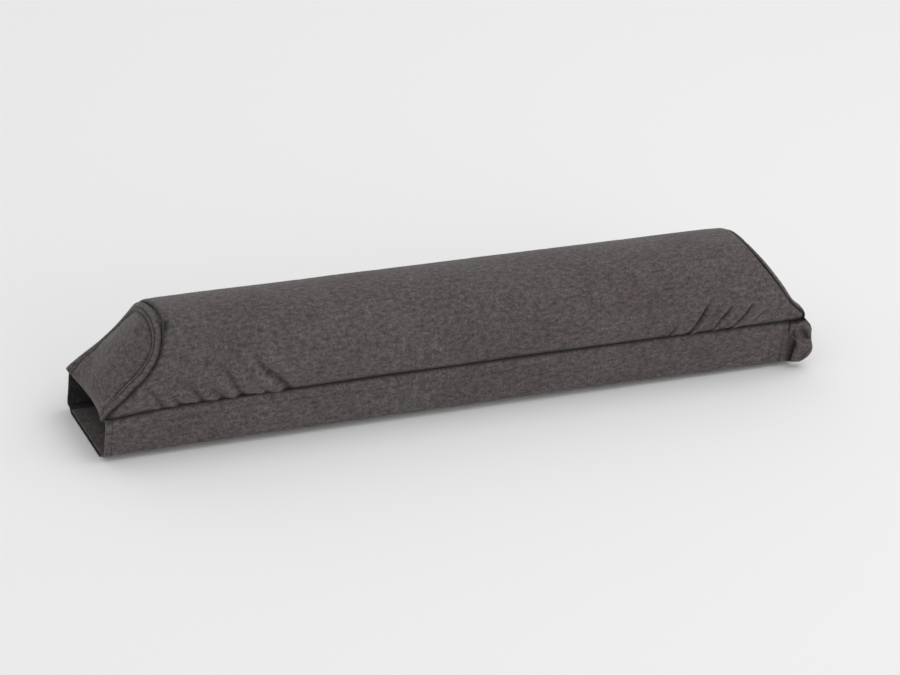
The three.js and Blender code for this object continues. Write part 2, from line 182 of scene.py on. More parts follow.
class PadColours(PropertyGroup):
    cloth: colour_setting("Cloth", "Woven polyester", (0.0775, 0.0656, 0.0646))
    # The inner face's colour is darker than the cloth, partly as painted shade for the unlit inside of the
    # cover.
    coating_and_shade: colour_setting("Coating", "On the cloth's inner face", (0.03, 0.028, 0.028))
    thread: colour_setting("Thread", "Polyester thread", (0.030, 0.026, 0.026))
    tape: colour_setting("Tape", "Hook and loop tape", (0.012, 0.011, 0.011))
    foam: colour_setting("Foam", "Closed-cell foam", (0.56, 0.54, 0.50))
    floor: colour_setting("Floor", "Pale studio floor", (0.93, 0.93, 0.93))


class PadStudio(PropertyGroup):
    lens: number_setting("Lens", "Focal length in millimetres", 135, unit="CAMERA")
    sky: number_setting("Sky", "Strength of the light from all round", 0.72)
    overhead_power: number_setting("Overhead", "Power of the lamp overhead", 11, unit="POWER")
    side_power: number_setting("Left lamp", "Power of the lamp at the left", 0.5, unit="POWER")
    front_power: number_setting("Front lamp", "Power of the low lamp in front", 11, unit="POWER")


def mix(a, b, share):
    return a + (b - a) * share


def smoothstep(x, low, high):
    share = np.clip((x - low) / (high - low), 0, 1)
    return share * share * (3 - 2 * share)


def plateau(x, low, top, edge, end):
    """0 up to low, 1 from top to edge, and 0 again past end."""
    return smoothstep(x, low, top) * (1 - smoothstep(x, edge, end))


def bell(distance, width):
    return np.exp(-((distance / width) ** 2))


def fade(distance, reach, power=1):
    return np.exp(-((distance / reach) ** power))


def beside(distance, reach, room=2.5):
    """0 at a seam, most just beside it, and fading within reach."""
    return (1 - fade(distance, room)) * fade(distance, reach)


def soft_noise(x, y, size, seed):
    """A smooth uneven field of about unit height whose swells are about size apart."""
    waves = 12
    chance = np.random.default_rng(seed)
    total = np.zeros(np.broadcast(x, y).shape)
    for _ in range(waves):
        angle, phase = chance.uniform(0, 2 * np.pi, 2)
        turn = 2 * np.pi / (size * chance.uniform(0.7, 1.5))
        total += np.sin(turn * (x * np.cos(angle) + y * np.sin(angle)) + phase)
    return total / math.sqrt(waves / 2)


def swells(x, y, *kinds):
    """Soft noises added up, each given as its height, its size and its seed."""
    return sum(height * soft_noise(x, y, size, seed) for height, size, seed in kinds)


def gathers(along, pitch, seed):
    """Uneven ripples along a seam, from 0 in their valleys to 1 on their ridges."""
    drift = soft_noise(along, 0, 3.1 * pitch, seed)
    wave = np.sin(2 * np.pi * along / pitch + 2.2 * drift)
    strength = 0.55 + 0.45 * np.sin(2 * np.pi * along / (4.3 * pitch) + seed)
    return (0.5 + 0.5 * wave) ** 1.5 * strength


def stations(*runs):
    """Places along a line from runs of (from, to, greatest step)."""
    places = []
    for start, end, step in runs:
        count = max(1, math.ceil(abs(end - start) / step))
        places.append(np.linspace(start, end, count + 1)[:-1])
    places.append([runs[-1][1]])
    return np.concatenate(places)


def fine_ended(reach, step, fine, fine_step):
    """Places from -reach to reach, with smaller steps along the fine length at both ends."""
    inner = reach - fine
    return stations((-reach, -inner, fine_step), (-inner, inner, step), (inner, reach, fine_step))


def cubic(values, places):
    """Values at even steps along axis 0, smoothly read at fractional places."""
    last = len(values) - 1
    low = np.clip(np.floor(places).astype(int), 0, last - 1)
    share = (places - low).reshape((-1,) + (1,) * (values.ndim - 1))
    before, after = values[np.maximum(low - 1, 0)], values[np.minimum(low + 2, last)]
    a, b = values[low], values[low + 1]
    bent = 2 * before - 5 * a + 4 * b - after + share * (3 * (a - b) + after - before)
    return a + 0.5 * share * (b - before + share * bent)


def across_first(grid):
    """A grid with its rows and columns exchanged."""
    return grid.swapaxes(0, 1)


def read_grid(grid, rows, columns):
    """A grid smoothly read at every pair of fractional rows and columns."""
    return across_first(cubic(across_first(cubic(grid, rows)), columns))


def place_of(value, values):
    """The fractional index at which rising values reach a value."""
    return np.array([np.interp(value, values, np.arange(len(values)))])


def lengths_along(points):
    """How far each point of a line, or of each row of a grid, is from the row's start."""
    steps = np.linalg.norm(np.diff(points, axis=-2), axis=-1)
    return np.concatenate([np.zeros(steps.shape[:-1] + (1,)), np.cumsum(steps, axis=-1)], axis=-1)


def facing(points, outward, at=None):
    """A grid's unit normals, turned so that the one at a place, or the middle one, faces outward."""
    normals = np.cross(np.gradient(points, axis=0), np.gradient(points, axis=1))
    normals = normals / np.maximum(np.linalg.norm(normals, axis=-1, keepdims=True), 1e-9)
    row, column = at or (points.shape[0] // 2, points.shape[1] // 2)
    return normals if normals[row, column] @ np.array(outward) > 0 else -normals


def numbered(first, rows, columns):
    """A grid of point numbers, counted from first."""
    return first + np.arange(rows * columns).reshape(rows, columns)


def quads_over(index):
    """The quads over a grid of point numbers."""
    return np.stack([index[:-1, :-1], index[1:, :-1], index[1:, 1:], index[:-1, 1:]], -1).reshape(-1, 4)


class End:
    """One end of the pad, with lengths in millimetres. Its side is -1 at the left and 1 at the right."""

    def __init__(self, side, seam, run, crown_height, ear, front_draw_in, gathered):
        self.side = side
        self.seam = seam
        self.lean = run / (crown_height - seam)
        self.ear = ear
        self.front_draw_in = front_draw_in
        self.gathered = gathered

    @property
    def slope_normal(self):
        normal = np.array([self.side, 0, self.lean])
        return normal / np.linalg.norm(normal)


class Form:
    """The pad's surfaces in millimetres, worked out from its sizes."""

    # The form's smaller lengths: the ears at the corners, the knees under the ends, and the base.
    ear_rise = 6
    ear_spread = 8
    knee_rise = 7.5
    edge_draw_in = 4.5
    edge_drop = 1
    base_radius = 6
    base_reach = 30
    overhang = 0.6
    back_draw_in = 15

    def __init__(self, sizes):
        for name in PadSizes.__annotations__:
            setattr(self, name, getattr(sizes, name) / MM)
        half_cloth, half_tape = self.cloth_thickness / 2, self.tape_thickness / 2
        self.half = self.pad_length / 2
        self.flap_reach = self.half - self.flap_inset
        self.lining = self.cloth_thickness + self.layer_gap
        self.outer_flap = half_cloth
        self.hook_middle = self.lining + half_tape
        self.loop_middle = self.hook_middle + self.tape_thickness + self.layer_gap
        self.inner_flap = self.loop_middle + half_tape + self.layer_gap + half_cloth
        self.bar_top = self.inner_flap + half_cloth + self.bar_clearance + self.bar_height
        self.roof = self.bar_top + self.bar_clearance
        self.channel_side = self.bar_width / 2 + self.bar_clearance
        self.skirt = self.channel_side + half_cloth
        self.base_side = self.channel_side - self.layer_gap
        self.seam_side = self.channel_side + self.cloth_thickness + self.overhang
        self.crown_side = self.crown_width / 2
        top = self.crown_height
        self.left = End(-1, self.seam_left, self.run_left, top, ear=1, front_draw_in=4, gathered=0.5)
        self.right = End(1, self.seam_right, self.run_right, top, ear=5, front_draw_in=0, gathered=0.8)

    def along(self, x):
        """How far along the pad an x is, from 0 at the left end to 1 at the right."""
        return (x + self.half) / self.pad_length

    def seam_height(self, along):
        """The long seams' height over the bar: they arch, and sag at the left corners."""
        along = np.clip(along, 0, 1)
        arch = self.seam_arch * np.sin(along * np.pi)
        sag = self.seam_past_corner - self.seam_left
        sag = sag * bell(along * self.pad_length, self.seam_corner_reach)
        return mix(self.seam_past_corner, self.seam_right, along) + (arch - sag)

    def flap_top(self, x):
        """The height of a flap's sewn edge over the floor."""
        return self.bar_top + self.seam_height(self.along(x)) - self.layer_gap / 2

    def between_corners(self, y):
        """1 in the middle of an end's lower edge, and 0 at its corners."""
        return np.maximum(0, 1 - (y / self.base_side) ** 2)

    def end_x(self, end, y, height):
        """The x of an end's outer surface at a height over the bar."""
        between = self.between_corners(y)
        knee = end.seam + self.knee_rise
        under = np.clip((knee - height) / (knee - self.end_edge), 0, 1) ** 2
        drawn_in = self.edge_draw_in + end.lean * (end.seam - self.end_edge)
        ear = end.ear * bell(height - end.seam - self.ear_rise, self.ear_spread) * (1 - between)
        reach = self.half - end.lean * (height - end.seam)
        rising = np.clip((height - end.seam) / (self.crown_height - end.seam), 0, 1)
        most = np.where(y < 0, end.front_draw_in, self.back_draw_in)
        rising = np.where(y < 0, rising ** 1.5, rising)
        beside_middle = most * smoothstep(np.abs(y), 0, self.crown_side) * np.sin(np.pi * rising)
        return end.side * (reach - drawn_in * between * under - beside_middle + ear)

    def end_edge_height(self, end, y):
        return mix(end.seam - self.edge_drop, self.end_edge, self.between_corners(y))

    def section(self, v, seam, lift=0.0):
        """The crown's section as y and height: v is 0 at the front seam and 1 at the back."""
        if np.any(lift):
            y, height = self.section(v, seam)
            y0, height0 = self.section(np.clip(v - 1e-4, 0, 1), seam)
            y1, height1 = self.section(np.clip(v + 1e-4, 0, 1), seam)
            step = np.hypot(y1 - y0, height1 - height0)
            return y + lift * (height0 - height1) / step, height + lift * (y1 - y0) / step
        from_seam = np.minimum(v, 1 - v) / SIDE_SHARE
        low = np.clip(from_seam, 0, 1)
        side = mix(self.seam_side, self.crown_side, np.sin(low * np.pi / 2))
        side_height = mix(seam + self.layer_gap / 2, self.waist_height, low)
        turn = np.pi * np.clip((v - SIDE_SHARE) / (1 - 2 * SIDE_SHARE), 0, 1)
        across = np.sign(np.cos(turn)) * np.abs(np.cos(turn)) ** (2 / DOME_EXPONENT)
        up = np.maximum(np.sin(turn), 0) ** (2 / DOME_EXPONENT)
        on_side = from_seam < 1
        y = np.where(on_side, np.where(v < 0.5, -side, side), -self.crown_side * across)
        height = np.where(on_side, side_height, mix(self.waist_height, self.crown_height, up))
        return y, height

    @functools.cached_property
    def girth(self):
        """Values of v and how far round the middle section each is from the front seam."""
        v = np.linspace(0, 1, 2001)
        y, height = self.section(v, self.seam_height(0.5))
        return v, lengths_along(np.stack([y, height], -1))

    def v_at(self, places):
        """The values of v at places round the middle section."""
        v, girth = self.girth
        return np.interp(places, girth, v)

    def even_v(self, count):
        """A number of values of v, evenly spaced round the middle section."""
        return self.v_at(np.linspace(0, self.girth[1][-1], count))

    def crown(self, along, v):
        """Points of the crown at every pair of along and v."""
        along, v = np.meshgrid(along, v, indexing="ij")
        y, height = self.section(v, self.seam_height(along))
        x = mix(self.end_x(self.left, y, height), self.end_x(self.right, y, height), along)
        return np.stack([x, y, self.bar_top + height], -1)

    def end_panel(self, end, s, r, lining):
        """Points of an end panel: s from the front corner to the back, r from the lower edge up."""
        s, r = np.meshgrid(s, r, indexing="ij")
        arch_y, arch_height = self.section(s, end.seam, -lining)
        edge_y = mix(-self.base_side, self.base_side, s)
        y = mix(edge_y, arch_y, r)
        height = mix(self.end_edge_height(end, edge_y), arch_height, r)
        return np.stack([self.end_x(end, y, height), y, self.bar_top + height], -1)

    def base(self, along, t):
        """Points of the base panel's lower face: t from the front seam to the back seam."""
        along, t = np.meshgrid(along, t, indexing="ij")
        top = self.bar_top + self.seam_height(along) - 2 * self.layer_gap
        rise = top - self.roof
        radius = self.base_radius
        quarter = np.pi * radius / 2
        place = np.abs(t - 0.5) * (2 * rise + 2 * self.base_side)
        bent = place - self.base_side + radius
        angle = np.clip(bent / quarter, 0, 1) * np.pi / 2
        y = np.where(bent < 0, place, self.base_side - radius + radius * np.sin(angle))
        z = np.where(bent < 0, self.roof, self.roof + radius * (1 - np.cos(angle)))
        climb = np.clip((bent - quarter) / (rise + radius - quarter), 0, 1)
        z = np.where(climb > 0, mix(self.roof + radius, top, climb), z)
        # Towards each end the panel flattens out to meet the end panel's lower edge.
        flattened = smoothstep(1 - np.minimum(along, 1 - along) * self.pad_length / self.base_reach, 0, 1)
        flat_y = mix(-self.base_side, self.base_side, t)
        left_edge, right_edge = (self.end_edge_height(end, flat_y) for end in (self.left, self.right))
        edge = np.where(along < 0.5, left_edge, right_edge)
        y = mix(np.sign(t - 0.5) * y, flat_y, flattened)
        z = mix(z, self.bar_top + edge - self.lining, flattened)
        return np.stack([self.inside_x(along, y, z - self.bar_top, self.lining), y, z], -1)

    def inside_x(self, along, y, height, inset):
        """The x of a point along the pad, kept an inset inside both ends."""
        limit = self.half - inset
        left = np.maximum(self.end_x(self.left, y, height) + inset, -limit)
        right = np.minimum(self.end_x(self.right, y, height) - inset, limit)
        return mix(left, right, along)


def pad_form():
    return Form(bpy.context.scene.pad_sizes)


def new_object(name, mesh):
    made = bpy.data.objects.new(name, mesh)
    bpy.context.collection.objects.link(made)
    return made


def settle(points, faces, held):
    """Presses a closed cover out from within, held at its seams, and tells how far its points move."""
    sewing = bpy.context.scene.pad_sewing
    scene = bpy.context.scene
    mesh = bpy.data.meshes.new("cover_form")
    mesh.from_pydata((points * MM).tolist(), [], faces)
    cover = new_object("cover_form", mesh)
    seams = cover.vertex_groups.new(name="seams")
    seams.add(held, 1, "REPLACE")
    cloth = cover.modifiers.new("Settling cloth", "CLOTH")
    cloth.settings.vertex_group_mass = seams.name
    cloth.settings.quality = 6
    cloth.settings.use_pressure = True
    cloth.settings.uniform_pressure_force = sewing.pressure
    cloth.settings.shrink_min = -sewing.slackness
    cloth.settings.bending_stiffness = 0.4
    cloth.settings.effector_weights.gravity = 0
    cloth.point_cache.frame_start = 1
    cloth.point_cache.frame_end = SETTLING_FRAMES
    for step in range(1, SETTLING_FRAMES + 1):
        scene.frame_set(step)
    settled = cover.evaluated_get(bpy.context.evaluated_depsgraph_get()).data
    places = np.empty(len(points) * 3)
    settled.vertices.foreach_get("co", places)
    bpy.data.objects.remove(cover)
    bpy.data.meshes.remove(mesh)
    scene.frame_set(1)
    shift = places.reshape(-1, 3) / MM - points
    cap = sewing.settle_cap / MM
    moved = np.linalg.norm(shift, axis=-1, keepdims=True)
    return shift * cap * np.tanh(moved / cap) / np.maximum(moved, 1e-9)


@functools.cache
def settled_cover():
    """How far the cloth over the foam shifts as it settles: grids for the crown and both ends."""
    form = pad_form()
    rows, columns, up = COVER_GRID
    along = np.linspace(0, 1, rows)
    v = form.even_v(columns)
    crown = form.crown(along, v)
    base = form.base(along, np.linspace(0, 1, columns))
    ends = [form.end_panel(end, v, np.linspace(0, 1, up), 0) for end in (form.left, form.right)]
    crown_index = numbered(0, rows, columns)
    base_index = numbered(crown_index.size, rows, columns - 2)
    first = crown_index.size + base_index.size
    base_index = np.concatenate([crown_index[:, :1], base_index, crown_index[:, -1:]], 1)
    turned = [0, 3, 2, 1]
    parts, indexes = [crown, base[:, 1:-1]], []
    quads = [quads_over(crown_index), quads_over(base_index)[:, turned]]
    for panel, row in zip(ends, (0, -1)):
        panel[:, -1] = crown[row]
        base[row] = panel[:, 0]
        index = np.empty((columns, up), int)
        index[0], index[-1] = crown_index[row, 0], crown_index[row, -1]
        index[1:-1, 0], index[1:-1, -1] = base_index[row, 1:-1], crown_index[row, 1:-1]
        index[1:-1, 1:-1] = numbered(first, columns - 2, up - 2)
        first += (columns - 2) * (up - 2)
        parts.append(panel[1:-1, 1:-1])
        indexes.append(index)
        around = quads_over(index)[:, turned]
        quads.append(around if row == 0 else around[:, ::-1])
    points = np.concatenate([part.reshape(-1, 3) for part in parts])
    faces = [list(dict.fromkeys(quad)) for quad in np.concatenate(quads).tolist()]
    faces = [face for face in faces if len(face) > 2]
    held = np.unique(np.concatenate([base_index.ravel(), crown_index[0], crown_index[-1]])).tolist()
    shift = settle(points, faces, held)
    return shift[crown_index], [shift[index] for index in indexes], v


def crown_places(form):
    """Where the crown's grid has its rows and columns, closest at seams and creases."""
    total = form.girth[1][-1]
    creased = 1 - 132 / form.pad_length
    rows = stations(
        (0, 0.02, 0.0018), (0.02, 0.32, 0.0029), (0.32, creased, 0.0042),
        (creased, 0.94, 0.0022), (0.94, 0.98, 0.003), (0.98, 1, 0.0018),
    )
    columns = stations((0, 6, 0.8), (6, 40, 1.25), (40, total - 8, 2.2), (total - 8, total, 1))
    return rows, columns


def settled_crown(form, rows, columns):
    """How far the settled cloth shifts at each point of the crown's grid."""
    shift, _, v = settled_cover()
    coarse = np.interp(v, *form.girth)
    return read_grid(shift, rows * (len(shift) - 1), np.interp(columns, coarse, np.arange(len(v))))


def crown_creases(form, x, front):
    """How far the creases lift the crown's cloth, the lighter tone on their ridges and the painted shade
    in them.
    """
    lift, wear, painted_shade = np.zeros((3, *x.shape))
    for side, dark, creases in CREASES:
        for inset, rise, reach, climb, depth, width in creases:
            run = np.array([side * reach, climb])
            crease_length = np.linalg.norm(run)
            run = run / crease_length
            dx, dy = x - side * (form.half - inset), front - rise
            up = (dx * run[0] + dy * run[1]) / crease_length
            off = dx * run[1] - dy * run[0] + 0.9 * np.sin(dx * 0.21 + inset)
            taper = plateau(up, -0.22, 0.18, 0.6, 1.15)
            ridges = bell(np.abs(off) - 2.3 * width, 1.3 * width)
            lift += 1.4 * depth * taper * (0.6 * ridges - fade(np.abs(off), width, 1.2))
            # The ridges of each crease are made lighter, and painted shade darkens its middle, where shade
            # falls.
            wear = np.maximum(wear, taper * ridges * min(depth, 1))
            painted_shade = np.maximum(painted_shade, dark * min(depth, 2) * taper * bell(off, width))
    return lift, wear, painted_shade


def crown_gathers(x, front, seam, ends):
    """The ripples beside the crown's seams, which are strongest near its ends."""
    by_left, by_right = bell(x + 232, 62), bell(x - 215, 70)
    strength = 0.35 + 1.25 * by_left + 0.45 * by_right
    crossed = 0.8 * gathers(x + 0.55 * front, 19, 5) + 0.55 * gathers(x - 0.7 * front, 9.5, 8)
    return strength * crossed * beside(seam, 11) + 0.45 * gathers(front, 13, 11) * beside(ends, 7)


def left_notch(left, front):
    """A short upright notch beside the left end's seam, from 0 to 1."""
    middle = 67
    up = front - middle
    return bell(left - 2.8 - 0.09 * up, 2.1) * bell(up, 8)


def crown_grid():
    """The crown's fine grid: its points, its cloth coordinates, and the lighter tone on its folds with
    painted shade in its creases and seams.
    """
    form = pad_form()
    rows, columns = crown_places(form)
    points = form.crown(rows, form.v_at(columns))
    x, height = points[..., 0], points[..., 2] - form.bar_top
    front = np.broadcast_to(columns, x.shape)
    seam = np.minimum(front, columns[-1] - front)
    ends = np.minimum(x - x[:1], x[-1:] - x)
    slack = 1 - 0.88 * smoothstep(height, 42, 66)
    swelling = swells(x, front, (0.35, 95, 3), (0.16, 34, 4))
    lift = (mix(0.4, 1.0, slack) + swelling * slack) * (1 - fade(seam, 7)) * (1 - fade(ends, 9))
    # The cloth dives into the seams, less so at the top of the ends.
    end_depth = 1.9 - 0.9 * smoothstep(height, 60, 72)
    lift = lift - 2.3 * fade(seam, 2.7, 1.5) - end_depth * fade(ends, 2.3, 1.5)
    creased, wear, painted_shade = crown_creases(form, x, front)
    notch = left_notch(x - x[:1], front)
    lift = lift + creased + crown_gathers(x, front, seam, ends) - 2.6 * notch
    settling = slack * (1 - fade(np.minimum(seam, ends), 3))
    settled = settled_crown(form, rows, columns) * settling[..., None]
    outer = points + settled + facing(points, (0, 0, 1)) * lift[..., None]
    # The sewn edge hangs a little lower, behind the flap's, so that no slit shows between them.
    outer[..., 2] -= 0.6 * bell(seam, 1.3)
    # A lighter strip runs 5.5 mm from the seam. Painted shade darkens the cloth towards the seam, in the
    # seam itself, in the grooves at the ends, in the notch and in the creases.
    wear = np.maximum(wear, 0.2 * fade(np.abs(seam - 5.5), 2)) - 0.3 * bell(seam, 7)
    grooves = np.maximum.reduce([bell(seam, 2.5), bell(ends, 1.8), notch])
    return outer, np.stack([x, front], -1), wear - 1.3 * grooves - painted_shade


def end_relief(form, end, points, away, around, r):
    """How far an end panel's cloth stands out, and how much of the settling it takes part in."""
    total = form.girth[1][-1]
    sides = np.minimum(around, total - around)
    inside = np.sin(np.pi * form.v_at(around)) * np.sin(np.pi * r)
    inside = np.maximum(0, inside)
    width = form.band_width
    stitched = away - width * BAND_STITCH
    gathered = fade(np.maximum(away - width, 0), 9) * smoothstep(away, width, width + 2.5)
    gathered = gathered * gathers(around, 12.5, 17 + end.side) * smoothstep(sides, 6, 22)
    lift = form.end_bulge * inside ** 0.75 + plateau(away, 0.1, 1.1, width, width + 0.9)
    lift = lift - 0.6 * bell(stitched, 0.6) - 0.7 * bell(away - width - 1.5, 1.1)
    lift = lift + end.gathered * gathered + 0.16 * np.sin(2 * np.pi * around / 4.4) * bell(stitched, 1.2)
    lift = lift + inside * swells(points[..., 1], points[..., 2], (0.28, 36, 21 + end.side))
    slope_length = 60
    lift = lift - 0.8 * fade(slope_length * r, 2.2) * smoothstep(sides, 4, 20)
    return lift, inside ** 0.5 * (1 - fade(away, 5))


def end_grid(end):
    """An end panel's points, cloth coordinates, painted highlights and shade, and distances from its
    curved seam.
    """
    form = pad_form()
    places = np.linspace(0, form.girth[1][-1], 150)
    r = stations((0, 0.8, 0.025), (0.8, 1, 0.008))
    points = form.end_panel(end, form.v_at(places), r, form.lining)
    arch = points[:, -1]
    away = [np.linalg.norm(line[:, None] - arch, axis=-1).min(-1) for line in across_first(points)]
    away = np.stack(away, 1)
    around, r_grid = np.meshgrid(places, r, indexing="ij")
    lift, settling = end_relief(form, end, points, away, around, r_grid)
    shift = settled_cover()[1][0 if end.side < 0 else 1]
    steps = np.linspace(0, 1, len(places)) * (len(shift) - 1)
    settled = read_grid(shift, steps, r * (shift.shape[1] - 1)) * settling[..., None]
    outer = points + end.slope_normal * lift[..., None] + settled
    width = form.band_width
    # Painted highlights lighten the band's middle and its inner edge. Painted shade darkens the seam, the
    # stitch line and the groove beside the band.
    wear = 0.8 * (bell(away - width * 0.4, 1.6) + bell(away - width, 0.8)) - 1.2 * bell(away, 0.8)
    wear = wear - 0.9 * bell(away - width * BAND_STITCH, 0.6) - 0.8 * bell(away - width - 1.5, 1.0)
    up_slope = (outer[..., 2] - form.bar_top) * math.hypot(1, end.lean)
    return outer, np.stack([outer[..., 1], up_slope], -1), wear, away


def rounded_path(corners, radius, counts):
    """A line through corners given as (y, z), the inner ones rounded, with steps on each straight."""
    corners = np.array(corners, float)
    points, start = [], corners[0]
    for before, corner, after, count in zip(corners, corners[1:], corners[2:], counts):
        finish = corner - radius * (corner - before) / np.linalg.norm(corner - before)
        leave = corner + radius * (after - corner) / np.linalg.norm(after - corner)
        points.append(mix(start, finish, np.linspace(0, 1, count + 1)[:-1, None]))
        t = np.linspace(0, 1, 7)[:-1, None]
        points.append((1 - t) ** 2 * finish + 2 * t * (1 - t) * corner + t * t * leave)
        start = leave
    points.append(mix(start, corners[-1], np.linspace(0, 1, counts[-1] + 1)[:, None]))
    return np.concatenate(points)


def front_section(form, x):
    """The front flap's section, from the seam round under the bar to its free edge."""
    along = form.along(x)
    slack = 1.8 * smoothstep(along, 0.5, 1) - 0.9 * np.sin(np.pi * along)
    corners = [
        (-form.skirt, form.flap_top(x)),
        (-form.skirt, form.inner_flap - slack),
        (-form.flap_overlap / 2, form.inner_flap),
        (form.flap_overlap / 2, form.inner_flap),
    ]
    return rounded_path(corners, 3.6, [26, 4, 26])


def back_section(form, x):
    """The back flap's section, from the seam round under the bar and down below the front flap."""
    drop = form.flap_overlap / 2 + 0.7
    corners = [
        (form.skirt, form.flap_top(x)),
        (form.skirt, form.inner_flap),
        (drop + 4.5, form.inner_flap),
        (drop, form.outer_flap),
        (-form.flap_overlap / 2, form.outer_flap),
    ]
    return rounded_path(corners, 1.5, [24, 3, 4, 28])


def swept(section, form, x):
    """A grid of points from a section at each x."""
    sections = np.array([section(form, place) for place in x])
    places = np.broadcast_to(x[:, None, None], (*sections.shape[:2], 1))
    return np.concatenate([places, sections], -1)


def lip_pleats(shares, down):
    """The depth of the pleats that the lip is gathered into, in mm."""
    pleats = np.zeros((len(shares), len(down)))
    for share, lean, start, finish, depth in LIP_PLEATS:
        across = shares[:, None] - share - lean * (down - start)
        reaching = plateau(down, start - 0.06, start + 0.04, finish - 0.12, finish)
        pleats = np.maximum(pleats, depth * bell(across, PLEAT_WIDTH) * reaching)
    return pleats


def folded_end(form, last):
    """The flap's right end, folded back outwards into a loose lip: points, depth of pleats and the painted
    shade in the pleats and the hollow.
    """
    start = form.half - LIP_START
    top = form.bar_top + form.seam_right
    on_skirt = last[:, 0] < -form.channel_side
    down = np.where(on_skirt, (top - last[:, 1]) / (top - form.inner_flap + 2), 1.0)
    full = 1 - smoothstep(down, 0.9, 1.0)
    swell = cubic(np.array(LIP_SWELL), np.minimum(down, 1) * (len(LIP_SWELL) - 1))
    past = (form.fold_reach - 1.4) * swell
    opened = plateau(down, 0.26, 0.46, 0.86, 1.0)
    slant = -3.4 * smoothstep(down, 0.3, 0.95)
    none = np.zeros_like(down)
    # The outline of the fold: how far each point is past the pad's end, and out from the skirt.
    outline = (
        (none - LIP_START, none),
        (-11.5 + slant, 1.3 * opened),
        (-8 + 0.5 * slant, -0.2 * opened),
        (none - 3, -0.3 * opened),
        (0.6 + past, 0.5 * swell),
        (1.6 + past, 1.4 + 3.4 * swell),
        (-1.2 + past, 1.9 + 5.6 * swell),
        (-5.5 + 3.0 * opened + 0.5 * slant, 1.9 + 2.2 * swell + 3.6 * opened),
        (-10.5 + 6.6 * opened + slant, 1.7 + 0.5 * swell + 3.4 * opened),
    )
    controls = np.array(outline).transpose(0, 2, 1)
    shares = np.linspace(0, 1, LIP_STEPS + 1)[1:]
    curled = cubic(controls, shares * (len(controls) - 1))
    plain = mix(start, form.flap_reach, shares)[:, None]
    x = mix(plain, form.half + curled[..., 0], full)
    y = last[:, 0] - curled[..., 1] * full
    z = last[:, 1] - 0.9 * np.sin(shares * np.pi)[:, None] * (down * full)
    pleats = lip_pleats(shares, down)
    hollow = bell(shares[:, None] - 0.3, 0.16) * opened
    # Painted shade darkens the pleats and the hollow inside the fold.
    painted_shade = np.maximum(0.8 * pleats, 0.1 * hollow) * full
    return np.stack([x, y, z], -1), pleats * full, painted_shade


def flap_finish(form, edge, down):
    """What both flaps have: how far hem and seam allowance stand out, the wear at the edges and painted
    shade at the seam.
    """
    hem = form.hem_width
    hemmed = 0.3 * (1 - smoothstep(edge, hem, hem + 0.8)) - 0.22 * bell(edge - hem * HEM_STITCH, 0.6)
    allowance = 0.35 * plateau(down, 2.2, 4, 8.5, 11) - 1.4 * fade(down, 2.4, 1.6)
    # Wear lightens the free edges and a line 37 mm down from the seam. Painted shade darkens the cloth at
    # the seam.
    wear = 0.5 * np.maximum(bell(edge - 0.4, 1.2), bell(down - 37, 2.5)) - 1.4 * bell(down, 1.5)
    return hemmed + allowance, wear


def front_relief(form, run, down):
    """The front flap's swells, the puckers under its seam, and the painted highlights and painted shade
    lines on them.
    """
    reach = form.flap_reach
    end_length = 14
    before_fold = run < reach - end_length
    swelling = swells(run, 2.5 * down, (0.5, 70, 33)) + swells(run, down, (0.18, 24, 34))
    left_end = bell(run + reach - end_length, 16)
    swelling = swelling + left_end * swells(run, 0.8 * down, (0.35, 17, 35))
    relief = swells(run, down, (0.06, 30, 31))
    relief = relief + plateau(down, 1, 9, 26, 36) * np.maximum(swelling, -0.4) * before_fold
    gathered = gathers(run, 8, 41) * bell(down - 4, 4)
    relief = relief + 0.35 * gathered * (0.3 + 0.7 * bell(run - 270, 30))
    by_fold = bell(run - 262, 34) * before_fold
    puckers = gathers(run - 1.3 * down, 11, 43) * plateau(down, 1.5, 4.5, 8, 15)
    relief = relief + puckers * (0.25 + 0.9 * by_fold)
    broken = smoothstep(soft_noise(run, 0, 33, 45), 0, 1)
    streak = bell(down - 6 - swells(run, 0, (1.5, 60, 44)), 1.4) * broken
    # Painted highlights lighten the puckers, a broken streak and a strip just under the seam. A painted
    # shade line runs about 10 mm below the seam.
    light = np.maximum(0.8 * puckers * (0.4 + 0.6 * by_fold), 0.7 * streak) + 0.5 * bell(down - 3.2, 1.2)
    dark = 0.4 * bell(down - 10 - swells(run, 0, (0.8, 90, 46)), 0.9) * smoothstep(-run, -120, 0)
    return relief, light - dark


@functools.cache
def front_flap():
    """The front flap's outer face, inner face, cloth coordinates, wear with painted highlights and shade,
    and normals.
    """
    form = pad_form()
    reach = form.flap_reach
    x = stations((-reach, -reach + 12, 1.0), (-reach + 12, 180, 2.8), (180, form.half - LIP_START, 1.8))
    plain = swept(front_section, form, x)
    lip, pleats, lip_painted_shade = folded_end(form, plain[-1, :, 1:])
    middle = np.concatenate([plain, lip])
    on_skirt = (5, 3)
    normals = facing(middle, (0, -1, 0), on_skirt)
    down = lengths_along(middle)
    run = across_first(lengths_along(across_first(middle))) - reach
    edge = np.minimum(np.where(run < 0, reach + run, run[-1:] - run), down[:, -1:] - down)
    relief, wear = flap_finish(form, edge, down)
    waves, worn_and_painted_shading = front_relief(form, run, down)
    relief, wear = relief + waves, wear + worn_and_painted_shading
    relief[len(x):] -= pleats
    # Painted shade in the lip's pleats and hollow.
    wear[len(x):] -= lip_painted_shade
    outer = middle + normals * (OUTER_FACE + relief)[..., None]
    return outer, outer - normals * SHEET, np.stack([run, down], -1), wear, normals


